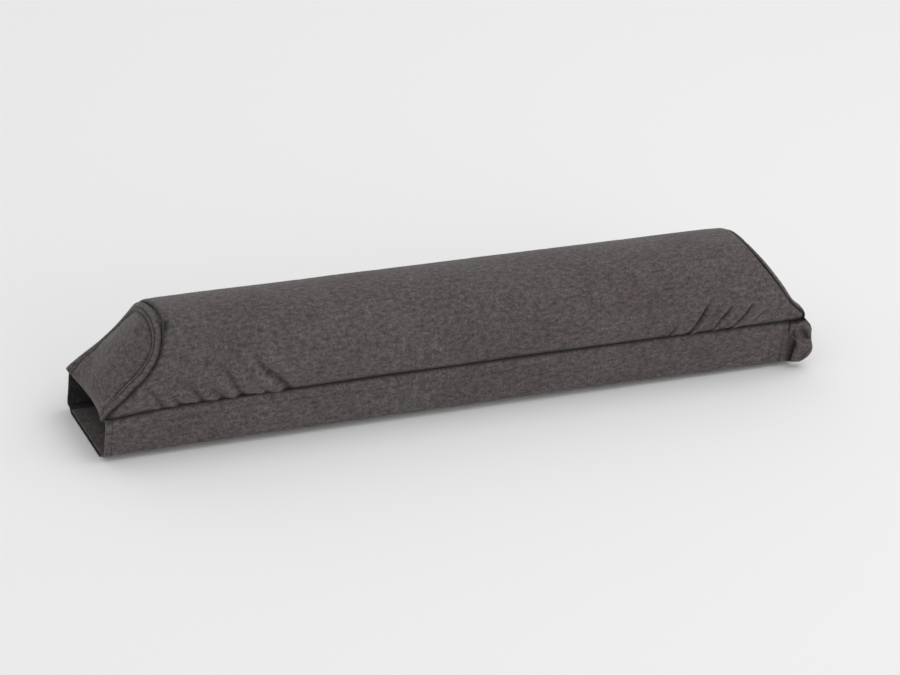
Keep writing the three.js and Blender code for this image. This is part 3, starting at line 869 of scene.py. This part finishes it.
@functools.cache
def back_flap():
    """The back flap's outer face, inner face, cloth coordinates, wear with painted shade at the seam, and
    normals.
    """
    form = pad_form()
    reach = form.flap_reach
    x = fine_ended(reach, 2.8, fine=12, fine_step=1.0)
    middle = swept(back_section, form, x)
    normals = facing(middle, (0, 0, -1))
    down = lengths_along(middle)
    run = np.broadcast_to(x[:, None], down.shape)
    relief, wear = flap_finish(form, np.minimum(reach - np.abs(run), down[:, -1:] - down), down)
    swelling = swells(run, 2.5 * down, (0.5, 64, 53)) + swells(run, down, (0.18, 22, 54))
    relief = relief + swells(run, down, (0.05, 26, 51))
    relief = relief + plateau(down, 1, 9, 26, 34) * np.maximum(swelling, -0.4)
    # Under the bar the outer face is drawn up, so that it and its stitches clear the floor.
    face = mix(OUTER_FACE, -0.1, smoothstep(down, 34, 40))
    outer = middle + normals * (face + relief)[..., None]
    return outer, outer - normals * SHEET, np.stack([run, down], -1), wear, normals


def closed_sheet(outer, inner):
    """The points and quads of a sheet with two faces and four closed edges."""
    rows, columns = outer.shape[:2]
    index = numbered(0, rows, columns)
    front, back = quads_over(index), quads_over(index + index.size)[:, ::-1]
    rim = np.concatenate([index[:, 0], index[-1, 1:], index[-2::-1, -1], index[0, -2:0:-1]])
    after = np.roll(rim, -1)
    sides = np.stack([rim, after, after + index.size, rim + index.size], 1)
    points = np.concatenate([outer.reshape(-1, 3), inner.reshape(-1, 3)])
    quads = np.concatenate([front, sides, back])
    a, b, c, d = (points[quads[:, i]] for i in range(4))
    volume = np.einsum("ij,ij->", a, np.cross(b, c)) + np.einsum("ij,ij->", a, np.cross(c, d))
    return points, quads if volume > 0 else quads[:, ::-1], len(back)


def cloth_mesh(name, outer, inner, flat, wear, materials):
    """A sheet's mesh, with its cloth coordinates in metres and its wear and painted shading. The last
    material is inside.
    """
    points, quads, behind = closed_sheet(outer, inner)
    mesh = bpy.data.meshes.new(name)
    mesh.from_pydata((points * MM).tolist(), [], quads.tolist())
    corners = np.empty(len(mesh.loops), int)
    mesh.loops.foreach_get("vertex_index", corners)
    both = np.tile(flat.reshape(-1, 2), (2, 1)) * MM
    mesh.uv_layers.new(name="cloth").data.foreach_set("uv", both[corners].ravel())
    # This attribute carries wear together with painted highlights and painted shade.
    worn_and_painted_shading = mesh.attributes.new("wear", "FLOAT", "POINT")
    worn_and_painted_shading.data.foreach_set("value", np.tile(wear.ravel(), 2))
    for material in materials:
        mesh.materials.append(material)
    which = np.zeros(len(quads), int)
    which[-behind:] = len(materials) - 1
    mesh.polygons.foreach_set("material_index", which)
    smooth_shade(mesh, 70)
    mesh.update()
    return mesh


def smooth_shade(mesh, sharp_angle):
    """Shades a mesh smooth, apart from edges sharper than an angle in degrees."""
    mesh.polygons.foreach_set("use_smooth", np.ones(len(mesh.polygons), bool))
    mesh.set_sharp_from_angle(angle=math.radians(sharp_angle))


def weld(mesh):
    """Joins a mesh's doubles, turns its faces outwards and smooths it."""
    made = bmesh.new()
    made.from_mesh(mesh)
    bmesh.ops.remove_doubles(made, verts=made.verts, dist=0.00005)
    bmesh.ops.dissolve_degenerate(made, edges=made.edges, dist=0.00001)
    bmesh.ops.recalc_face_normals(made, faces=made.faces)
    made.to_mesh(mesh)
    made.free()
    smooth_shade(mesh, 50)


def sheet_area(grid):
    """The area of a grid's face in square metres."""
    across, down = np.diff(grid, axis=0)[:, :-1], np.diff(grid, axis=1)[:-1]
    return float(np.linalg.norm(np.cross(across, down), axis=-1).sum()) * MM * MM


def show(name, mesh, node):
    """Adds a finished piece that stands for one of the model's nodes."""
    piece = new_object(name, mesh)
    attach(piece, "root")
    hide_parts(node)
    return piece


def show_panel(name, outer, normals, flat, wear):
    """Adds a panel of the padded cover, which stands for the node of its name."""
    mesh = cloth_mesh(name, outer, outer - normals * SHEET, flat, wear, cloth_pair())
    piece = show(name, mesh, f"{name}_panel")


def show_flap(name, node, grids, materials):
    """Adds a flap, and works out the size and area of the sheet of cloth that it was cut from."""
    outer, inner, flat, wear, _ = grids
    piece = show(name, cloth_mesh(name, outer, inner, flat, wear, materials), node)
    size = tuple(float(np.ptp(flat[..., axis])) * MM for axis in (1, 0))
    area = min(sheet_area(outer), size[0] * size[1])


class Nodes:
    """Adds nodes to a tree and joins them as they are made."""

    def __init__(self, tree):
        self.tree = tree

    def add(self, kind, inputs=(), **options):
        node = self.tree.nodes.new(kind)
        for name, value in options.items():
            setattr(node, name, value)
        for name, value in dict(inputs).items():
            self.give(node.inputs[name], value)
        return node

    def give(self, socket, value):
        if isinstance(value, bpy.types.NodeSocket):
            self.tree.links.new(value, socket)
        elif isinstance(value, bpy.types.Node):
            self.tree.links.new(value.outputs[0], socket)
        else:
            socket.default_value = value

    def math(self, operation, a, b=0.0, clamp=False):
        return self.add("ShaderNodeMath", {0: a, 1: b}, operation=operation, use_clamp=clamp)

    def plus(self, a, b, clamp=False):
        return self.math("ADD", a, b, clamp)

    def times(self, a, b):
        return self.math("MULTIPLY", a, b)

    def weighed(self, *parts):
        """The sum of values, each given with its weight."""
        return functools.reduce(self.plus, [self.times(value, weight) for value, weight in parts])

    def blend(self, share, a, b, kind="MIX"):
        inputs = {0: share, 6: a, 7: b}
        return self.add("ShaderNodeMix", inputs, data_type="RGBA", blend_type=kind).outputs[2]

    def object_place(self):
        return self.add("ShaderNodeTexCoord").outputs["Object"]

    def noise(self, place, scale, detail, roughness=0.5):
        """Noise at one scale, or stretched by a scale along each axis."""
        if isinstance(scale, tuple):
            place = self.add("ShaderNodeMapping", {"Vector": place, "Scale": scale})
            scale = 1.0
        inputs = {"Vector": place, "Scale": scale, "Detail": detail, "Roughness": roughness}
        return self.add("ShaderNodeTexNoise", inputs)

    def bump(self, height, distance, strength, **below):
        inputs = {"Height": height, "Distance": distance, "Strength": strength}
        return self.add("ShaderNodeBump", {**inputs, **below})

    def shades(self, factor, colour, dark, light, low=0.0, high=1.0):
        """A colour in a dark shade where a factor is low and in a light one where it is high."""
        ramp = self.add("ShaderNodeValToRGB", {0: factor})
        for element, place, shade in zip(ramp.color_ramp.elements, (low, high), (dark, light)):
            element.position = place
            element.color = (*(shade * part for part in colour), 1)
        return ramp


def new_material(name, colour, roughness, **constants):
    """A material with its constants on its shader's own sockets. Returns it, its nodes and the shader."""
    material = bpy.data.materials.new(name)
    material.use_nodes = True
    material.diffuse_color = (*colour, 1)
    nodes = Nodes(material.node_tree)
    shader = material.node_tree.nodes["Principled BSDF"]
    shader.inputs["Base Color"].default_value = (*colour, 1)
    shader.inputs["Roughness"].default_value = roughness
    for socket, value in constants.items():
        shader.inputs[socket.replace("_", " ")].default_value = value
    return material, nodes, shader


def plain_weave(nodes, flat):
    """The height of a plain weave, where one of two crossing threads lies on top."""
    pitch = bpy.context.scene.pad_sewing.weave_pitch
    place = nodes.add("ShaderNodeSeparateXYZ", {0: flat})
    warp, weft = (nodes.math("SINE", nodes.times(place.outputs[axis], math.pi / pitch)) for axis in (0, 1))
    over = nodes.plus(nodes.times(nodes.times(warp, weft), 1.5), 0.5, clamp=True)
    heights = {0: over, 2: nodes.math("ABSOLUTE", warp), 3: nodes.math("ABSOLUTE", weft)}
    return nodes.add("ShaderNodeMix", heights, data_type="FLOAT")


def cloth_colour(nodes, flat, colour, weave, mottle, slub):
    """The cloth's colour: uneven yarn, soft patches, wear and painted highlights that lighten it and
    painted shade that darkens it.
    """
    worn_and_painted_shading = nodes.add("ShaderNodeAttribute", attribute_name="wear").outputs["Fac"]
    yarns = [nodes.noise(flat, stretch, 2.0) for stretch in ((90, 1500, 1), (1500, 110, 1))]
    patches = nodes.noise(flat, 14.0, 2.0).outputs[0]
    tone = nodes.weighed(
        (yarns[0], 0.21), (yarns[1], 0.21), (mottle, 0.5), (patches, 0.5), (weave, 0.22), (worn_and_painted_shading, 0.15)
    )
    shaded = nodes.shades(tone, colour, 0.74, 1.3, low=0.56)
    tint = nodes.blend(patches, (1.05, 0.98, 0.97, 1), (0.95, 1.02, 1.03, 1))
    blotch = nodes.noise(flat, (195, 315, 1), 2.0)
    grain = nodes.plus(nodes.times(slub, 2.4), -0.2)
    grain = nodes.times(grain, nodes.plus(nodes.times(blotch, 1.6), 0.2))
    # Where the attribute is below zero, painted shade darkens the cloth, down to a fifth of its colour.
    painted_shade_factor = nodes.math("MINIMUM", nodes.plus(nodes.times(worn_and_painted_shading, 0.62), 1.0), 1.0)
    grey = nodes.times(grain, nodes.math("MAXIMUM", painted_shade_factor, 0.2))
    grey = nodes.add("ShaderNodeCombineColor", {0: grey, 1: grey, 2: grey})
    return nodes.blend(1.0, nodes.blend(1.0, shaded, tint, "MULTIPLY"), grey, "MULTIPLY")


@functools.cache
def woven_cloth(coated_and_shaded=False):
    """Plain-woven polyester. Its coated inner face is darker, partly as painted shade for the unlit inside
    of the cover, and a little shiny.
    """
    colours = bpy.context.scene.pad_colours
    colour = tuple(colours.coating_and_shade if coated_and_shaded else colours.cloth)
    material, nodes, shader = new_material(
        "coated_cloth" if coated_and_shaded else "woven_cloth", colour, 0.55 if coated_and_shaded else 0.86,
        Specular_IOR_Level=0.25, Sheen_Weight=0.0 if coated_and_shaded else 0.12, Sheen_Roughness=0.45,
    )
    flat = nodes.add("ShaderNodeUVMap", uv_map="cloth")
    weave = plain_weave(nodes, flat)
    mottle = nodes.noise(flat, 75.0, 4.0)
    slub = nodes.noise(flat, 520.0, 3.0, 0.75)
    nodes.give(shader.inputs["Base Color"], cloth_colour(nodes, flat, colour, weave, mottle, slub))
    rough = nodes.plus(nodes.times(mottle, 0.16), 0.46 if coated_and_shaded else 0.76)
    nodes.give(shader.inputs["Roughness"], rough)
    relief = nodes.bump(weave, 0.00012, 0.25 if coated_and_shaded else 0.55)
    relief = nodes.bump(nodes.noise(flat, 210.0, 3.0), 0.0007, 0.5, Normal=relief)
    nodes.give(shader.inputs["Normal"], nodes.bump(slub, 0.0004, 0.5, Normal=relief))
    return material


def cloth_pair():
    return [woven_cloth(), woven_cloth(coated_and_shaded=True)]


@functools.cache
def thread_finish():
    """Twisted polyester thread."""
    colour = tuple(bpy.context.scene.pad_colours.thread)
    material, nodes, shader = new_material("thread", colour, 0.5, Specular_IOR_Level=0.35)
    strands = nodes.noise(nodes.object_place(), 2600.0, 2.0)
    nodes.give(shader.inputs["Base Color"], nodes.shades(strands, colour, 0.6, 1.6))
    nodes.give(shader.inputs["Normal"], nodes.bump(strands, 0.0001, 0.6))
    return material


@functools.cache
def foam_finish():
    """Closed-cell foam: a pale skin of small cells."""
    colour = tuple(bpy.context.scene.pad_colours.foam)
    material, nodes, shader = new_material("foam", colour, 0.9, Specular_IOR_Level=0.3)
    place = nodes.object_place()
    cells = nodes.add("ShaderNodeTexVoronoi", {"Vector": place, "Scale": 700.0})
    mottle = nodes.noise(place, 60.0, 3.0)
    nodes.give(shader.inputs["Base Color"], nodes.shades(mottle, colour, 0.88, 1.08))
    nodes.give(shader.inputs["Normal"], nodes.bump(cells, 0.0004, 0.8))
    return material


@functools.cache
def tape_finish(hooks):
    """Hook or loop tape: rows of small hooks, or a tangle of loops."""
    colour = tuple(bpy.context.scene.pad_colours.tape)
    name = "hook_tape" if hooks else "loop_tape"
    material, nodes, shader = new_material(name, colour, 0.5 if hooks else 0.95, Specular_IOR_Level=0.3)
    place = nodes.object_place()
    if hooks:
        pile = nodes.add("ShaderNodeTexVoronoi", {"Vector": place, "Scale": 620.0, "Randomness": 0.25})
    else:
        pile = nodes.noise(place, 1300.0, 4.0)
    nodes.give(shader.inputs["Base Color"], nodes.shades(pile, colour, 0.5, 2.2))
    nodes.give(shader.inputs["Normal"], nodes.bump(pile, 0.0005, 0.9))
    return material


def stitch_shape(nodes, stitch_length, radius):
    """One stitch: a thread that arches out of the cloth, its ends sunk in it."""
    half = nodes.times(stitch_length, 0.5)
    sunk, proud = nodes.times(radius, -1.1), nodes.times(radius, 2.6)
    start, middle, end = (
        nodes.add("ShaderNodeCombineXYZ", {"X": x, "Z": z})
        for x, z in ((nodes.times(half, -1.0), sunk), (0.0, proud), (half, sunk))
    )
    places = {"Resolution": 6, "Start": start, "Middle": middle, "End": end}
    arc = nodes.add("GeometryNodeCurveQuadraticBezier", places)
    ring = nodes.add("GeometryNodeCurvePrimitiveCircle", {"Resolution": 6, "Radius": radius})
    return nodes.add("GeometryNodeCurveToMesh", {"Curve": arc, "Profile Curve": ring, "Fill Caps": True})


@functools.cache
def stitch_nodes():
    """Geometry nodes that lay stitches end to end along lines, each arched out of the cloth."""
    tree = bpy.data.node_groups.new("Stitches", "GeometryNodeTree")
    tree.is_modifier = True
    numbers = [(name, "Float") for name in ("Stitch length", "Gap", "Thread radius")]
    for name, kind in (("Geometry", "Geometry"), *numbers, ("Thread", "Material")):
        tree.interface.new_socket(name, in_out="INPUT", socket_type=f"NodeSocket{kind}")
    tree.interface.new_socket("Geometry", in_out="OUTPUT", socket_type="NodeSocketGeometry")
    nodes = Nodes(tree)
    given = nodes.add("NodeGroupInput").outputs
    line = nodes.add("GeometryNodeMeshToCurve", {"Mesh": given["Geometry"]})
    pitch = nodes.plus(given["Stitch length"], given["Gap"])
    spots = nodes.add("GeometryNodeResampleCurve", {"Curve": line, "Length": pitch}, mode="LENGTH")
    stitch = stitch_shape(nodes, given["Stitch length"], given["Thread radius"])
    out = nodes.add("GeometryNodeInputNamedAttribute", {"Name": "out"}, data_type="FLOAT_VECTOR")
    axes = {"Primary Axis": nodes.add("GeometryNodeInputTangent"), "Secondary Axis": out}
    turn = nodes.add("FunctionNodeAxesToRotation", axes, primary_axis="X", secondary_axis="Z")
    laid = {"Points": spots, "Instance": stitch, "Rotation": turn}
    real = nodes.add("GeometryNodeRealizeInstances", {0: nodes.add("GeometryNodeInstanceOnPoints", laid)})
    smooth = nodes.add("GeometryNodeSetShadeSmooth", {"Geometry": real})
    done = nodes.add("GeometryNodeSetMaterial", {"Geometry": smooth, "Material": given["Thread"]})
    nodes.add("NodeGroupOutput", {"Geometry": done})
    return tree


def line_mesh(name, lines):
    """A mesh of lines given as (points, outward directions) in millimetres."""
    edges, first = [], 0
    for line, _ in lines:
        edges += [(i, i + 1) for i in range(first, first + len(line) - 1)]
        first += len(line)
    points, outs = (np.concatenate(parts) for parts in zip(*lines))
    mesh = bpy.data.meshes.new(name)
    mesh.from_pydata((points * MM).tolist(), edges, [])
    mesh.attributes.new("out", "FLOAT_VECTOR", "POINT").data.foreach_set("vector", outs.ravel())
    return mesh


def sew(name, lines):
    """Adds a piece of stitches along lines given as (points, outward directions) in millimetres."""
    sewing = bpy.context.scene.pad_sewing
    mesh = line_mesh(name, lines)
    piece = new_object(name, mesh)
    modifier = piece.modifiers.new("Stitches", "NODES")
    modifier.node_group = stitch_nodes()
    values = {
        "Stitch length": sewing.stitch_length,
        "Gap": sewing.stitch_gap,
        "Thread radius": sewing.thread_radius,
        "Thread": thread_finish(),
    }
    for item in modifier.node_group.interface.items_tree:
        if item.in_out == "INPUT" and item.name in values:
            modifier[item.identifier] = values[item.name]
    graph = bpy.context.evaluated_depsgraph_get()
    sewn = bpy.data.meshes.new_from_object(piece.evaluated_get(graph), depsgraph=graph)
    piece.modifiers.clear()
    piece.data = sewn
    bpy.data.meshes.remove(mesh)
    sewn.name = name
    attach(piece, "root")


def sew_end(name, outer, normals, away, band_width):
    """Sews the stitches of an end panel's band, beside its curved seam."""
    line, outs = [], []
    for points, outward, distance in zip(outer, normals, away):
        if distance.max() > 2 * band_width:
            place = place_of(-band_width * BAND_STITCH, -distance)
            line.append(cubic(points, place)[0])
            outs.append(cubic(outward, place)[0])
    outs = np.array(outs)
    sew(f"{name}_stitches", [(np.array(line) + 0.1 * outs, outs)])


def row_line(outer, normals, place):
    """A line over a grid at a fractional row, with its outward directions."""
    return cubic(outer, place)[0], cubic(normals, place)[0]


def hem_lines(form, outer, normals, flat):
    """The lines of stitches in a flap's hems: its free edge and both its ends."""
    inset = form.hem_width * HEM_STITCH
    # One column of the grid gives the way along the flap, and one row the way down.
    run, down = flat[:, 20, 0], flat[4, :, 1]
    edge, outs = row_line(across_first(outer), across_first(normals), place_of(down[-1] - inset, down))
    within = np.abs(edge[:, 0]) < form.flap_reach - inset
    lines = [(edge[within], outs[within])]
    for place in (run[0] + inset, run[-1] - inset):
        # The lines stop short of the seam and of the free edge.
        lines.append([part[2:-3] for part in row_line(outer, normals, place_of(place, run))])
    return lines


def tape_lines(form, outer, normals):
    """The lines of stitches that hold a tape to its flap, under the bar."""
    section = outer[len(outer) // 2]
    under_bar = section[:, 2] < form.bar_top - form.bar_height
    lines = []
    for side in (-1, 1):
        off_line = np.abs(section[:, 1] - side * (form.tape_width / 2 - TAPE_STITCH))
        column = np.argmin(np.where(under_bar, off_line, np.inf))
        line, outs = outer[:, column], normals[:, column]
        within = np.abs(line[:, 0]) < form.half - form.tape_inset - TAPE_STITCH
        lines.append((line[within], outs[within]))
    return lines


def seam_line(form, side):
    """The line of stitches along a long seam, on the front side at -1 or the back at 1."""
    end_gap, proud, below = 3, 0.15, 0.3
    x = np.linspace(end_gap - form.half, form.half - end_gap, 300)
    y = np.full_like(x, side * (form.skirt + proud))
    z = form.bar_top + form.seam_height(form.along(x)) - below
    return np.stack([x, y, z], -1), np.tile([0.0, side, 0.0], (len(x), 1))


def foam_layer(form, along, v, share):
    """A layer through the foam, which is its underside at a share of 0 and its top at 1."""
    inset = FOAM_INSET * form.lining
    low = form.base(along, np.linspace(0, 1, len(v)))
    along, v = np.meshgrid(along, v, indexing="ij")
    y, height = form.section(v, form.seam_height(along), -inset)
    y = mix(low[..., 1] * (1 - inset / form.base_side), y, share)
    height = mix(low[..., 2] + form.lining - form.bar_top, height, share)
    return np.stack([form.inside_x(along, y, height, inset), y, form.bar_top + height], -1)


class PAD_OT_foam(Operator):
    """Makes the foam block that fills the cover"""

    bl_idname = "pad.foam"
    bl_label = "Foam block"

    def execute(self, context):
        form = pad_form()
        v, along, shares = form.even_v(64), np.linspace(0, 1, 90), np.linspace(0, 1, 20)
        grids = [foam_layer(form, along, v, 1), foam_layer(form, along, v, 0)]
        for end in (0, 1):
            layers = [foam_layer(form, np.array([end]), v, share)[0] for share in shares]
            grids.append(np.stack(layers, 1))
        faces, first = [], 0
        for grid in grids:
            index = numbered(first, *grid.shape[:2])
            faces += quads_over(index).tolist()
            first += index.size
        points = np.concatenate([grid.reshape(-1, 3) for grid in grids])
        mesh = bpy.data.meshes.new("foam_block")
        mesh.from_pydata((points * MM).tolist(), [], faces)
        weld(mesh)
        mesh.materials.append(foam_finish())
        show("foam_block", mesh, "foam_core")
        return {"FINISHED"}


class PAD_OT_crown(Operator):
    """Makes the cover's crown, from the front seam over the foam to the back seam"""

    bl_idname = "pad.crown"
    bl_label = "Crown"

    def execute(self, context):
        outer, flat, wear = crown_grid()
        show_panel("crown", outer, facing(outer, (0, 0, 1)), flat, wear)
        return {"FINISHED"}


class PAD_OT_ends(Operator):
    """Makes the sloping end panels and the stitches beside their curved seams"""

    bl_idname = "pad.ends"
    bl_label = "End panels"

    def execute(self, context):
        form = pad_form()
        for end, name in ((form.left, "left_end"), (form.right, "right_end")):
            outer, flat, wear, away = end_grid(end)
            normals = facing(outer, end.slope_normal)
            show_panel(name, outer, normals, flat, wear)
            sew_end(name, outer, normals, away, form.band_width)
        return {"FINISHED"}


class PAD_OT_base(Operator):
    """Makes the base panel between the foam and the bar"""

    bl_idname = "pad.base"
    bl_label = "Base panel"

    def execute(self, context):
        along = stations((0, 0.06, 0.004), (0.06, 0.94, 0.008), (0.94, 1, 0.004))
        points = pad_form().base(along, np.linspace(0, 1, 61))
        normals = facing(points, (0, 0, -1))
        x, down = points[..., 0], lengths_along(points)
        wrinkles = swells(x, down, (0.12, 22, 61)) - 0.12
        outer = points + normals * wrinkles[..., None]
        show_panel("base", outer, normals, np.stack([x, down], -1), np.zeros_like(down))
        return {"FINISHED"}


class PAD_OT_front_flap(Operator):
    """Makes the front flap with its hems and folded end"""

    bl_idname = "pad.front_flap"
    bl_label = "Front flap"

    def execute(self, context):
        show_flap("front_skirt", "front_flap", front_flap(), [woven_cloth()])
        return {"FINISHED"}


class PAD_OT_back_flap(Operator):
    """Makes the back flap with its hems"""

    bl_idname = "pad.back_flap"
    bl_label = "Back flap"

    def execute(self, context):
        show_flap("back_skirt", "back_flap", back_flap(), cloth_pair())
        return {"FINISHED"}


class PAD_OT_tapes(Operator):
    """Makes the hook tape and the loop tape that close the flaps under the bar"""

    bl_idname = "pad.tapes"
    bl_label = "Closure tapes"

    def execute(self, context):
        form = pad_form()
        x_reach, y_reach = form.half - form.tape_inset, form.tape_width / 2
        x, y = (
            fine_ended(reach, step, fine=2, fine_step=0.5) for reach, step in ((x_reach, 4), (y_reach, 2))
        )
        x, y = np.meshgrid(x, y, indexing="ij")
        edge = np.minimum(x_reach - np.abs(x), y_reach - np.abs(y))
        half = form.tape_thickness * (0.28 + 0.16 * smoothstep(edge, 0, 1.5))
        wave = swells(x, y, (0.03, 40, 71))
        kinds = ("loops", "loop_tape", form.loop_middle), ("hooks", "hook_tape", form.hook_middle)
        for name, node, middle in kinds:
            upper, lower = (np.stack([x, y, middle + side * half + wave], -1) for side in (1, -1))
            finish = tape_finish(name == "hooks")
            flat = np.stack([x, y], -1)
            mesh = cloth_mesh(f"{name}_strip", upper, lower, flat, np.zeros_like(x), [finish])
            show(f"{name}_strip", mesh, node)
        return {"FINISHED"}


class PAD_OT_stitches(Operator):
    """Sews the long seams, the flaps' hems and the edges of the tapes"""

    bl_idname = "pad.stitches"
    bl_label = "Stitches"

    def execute(self, context):
        form = pad_form()
        for name, flap in (("front_flap_stitches", front_flap()), ("back_flap_stitches", back_flap())):
            outer, _, flat, _, normals = flap
            sew(name, hem_lines(form, outer, normals, flat) + tape_lines(form, outer, normals))
        for name, side in (("front_seam_stitches", -1), ("back_seam_stitches", 1)):
            sew(name, [seam_line(form, side)])
        return {"FINISHED"}


def lay_floor(scene):
    """Lays the pale floor."""
    finish = new_material("floor", tuple(scene.pad_colours.floor), 0.9, Specular_IOR_Level=0.1)[0]
    corners = [(x * FLOOR_REACH, y * FLOOR_REACH, 0) for x, y in ((-1, -1), (1, -1), (1, 1), (-1, 1))]
    mesh = bpy.data.meshes.new("floor")
    mesh.from_pydata(corners, [], [(0, 1, 2, 3)])
    mesh.materials.append(finish)
    new_object("floor", mesh)


def light_studio(scene):
    """Lights the studio from all round, white where it is mirrored, and with soft lamps."""
    studio = scene.pad_studio
    scene.world = bpy.data.worlds.new("studio")
    scene.world.use_nodes = True
    sky = Nodes(scene.world.node_tree)
    path = sky.add("ShaderNodeLightPath").outputs
    rays = sky.math("MAXIMUM", path["Is Glossy Ray"], path["Is Transmission Ray"])
    background = scene.world.node_tree.nodes["Background"]
    background.inputs["Color"].default_value = (1, 1, 1, 1)
    sky.give(background.inputs["Strength"], sky.plus(sky.times(rays, 1 - studio.sky), studio.sky))
    for name, place, size, power in LAMPS:
        lamp = bpy.data.lights.new(name, "AREA")
        lamp.size = size
        lamp.energy = getattr(studio, power)
        holder = new_object(name, lamp)
        holder.location = place
        holder.rotation_euler = (LAMP_AIM - Vector(place)).to_track_quat("-Z", "Y").to_euler()


def aim_camera(scene):
    """Puts the camera where the photograph's was, turned to have the pad in the middle."""
    camera = bpy.data.cameras.new("camera")
    camera.lens = scene.pad_studio.lens
    camera.clip_end = 50
    scene.camera = new_object("camera", camera)
    aim = (CAMERA_AIM - CAMERA_PLACE).normalized()
    turn = CAMERA_FORWARD.rotation_difference(aim)
    up = CAMERA_RIGHT.cross(CAMERA_FORWARD)
    axes = Matrix((turn @ CAMERA_RIGHT, turn @ up, -aim)).transposed().to_4x4()
    scene.camera.matrix_world = Matrix.Translation(CAMERA_PLACE) @ axes


class PAD_OT_stage(Operator):
    """Sets up the pale floor, the soft studio light and the camera"""

    bl_idname = "pad.stage"
    bl_label = "Stage"

    def execute(self, context):
        context.scene.view_settings.view_transform = "Standard"
        lay_floor(context.scene)
        light_studio(context.scene)
        aim_camera(context.scene)
        return {"FINISHED"}


GROUPS = {
    PadSizes: "pad_sizes",
    PadSewing: "pad_sewing",
    PadColours: "pad_colours",
    PadStudio: "pad_studio",
}
OPERATORS = (
    PAD_OT_foam,
    PAD_OT_crown,
    PAD_OT_ends,
    PAD_OT_base,
    PAD_OT_front_flap,
    PAD_OT_back_flap,
    PAD_OT_tapes,
    PAD_OT_stitches,
    PAD_OT_stage,
)


class VIEW3D_PT_pad(Panel):
    bl_label = "Roof rack pad"
    bl_space_type = "VIEW_3D"
    bl_region_type = "UI"
    bl_category = "Pad"

    def draw(self, context):
        for group, settings in GROUPS.items():
            box = self.layout.box()
            for name in group.__annotations__:
                box.prop(getattr(context.scene, settings), name)
        for operator in OPERATORS:
            self.layout.operator(operator.bl_idname)


def register():
    for group, name in GROUPS.items():
        bpy.utils.register_class(group)
        setattr(bpy.types.Scene, name, PointerProperty(type=group))
    for operator in OPERATORS:
        bpy.utils.register_class(operator)
    bpy.utils.register_class(VIEW3D_PT_pad)


def unregister():
    bpy.utils.unregister_class(VIEW3D_PT_pad)
    for operator in reversed(OPERATORS):
        bpy.utils.unregister_class(operator)
    for group, name in GROUPS.items():
        delattr(bpy.types.Scene, name)
        bpy.utils.unregister_class(group)


def main():
    register()
    for operator in OPERATORS:
        group, name = operator.bl_idname.split(".")
        getattr(getattr(bpy.ops, group), name)()


if __name__ == "__main__":
    main()
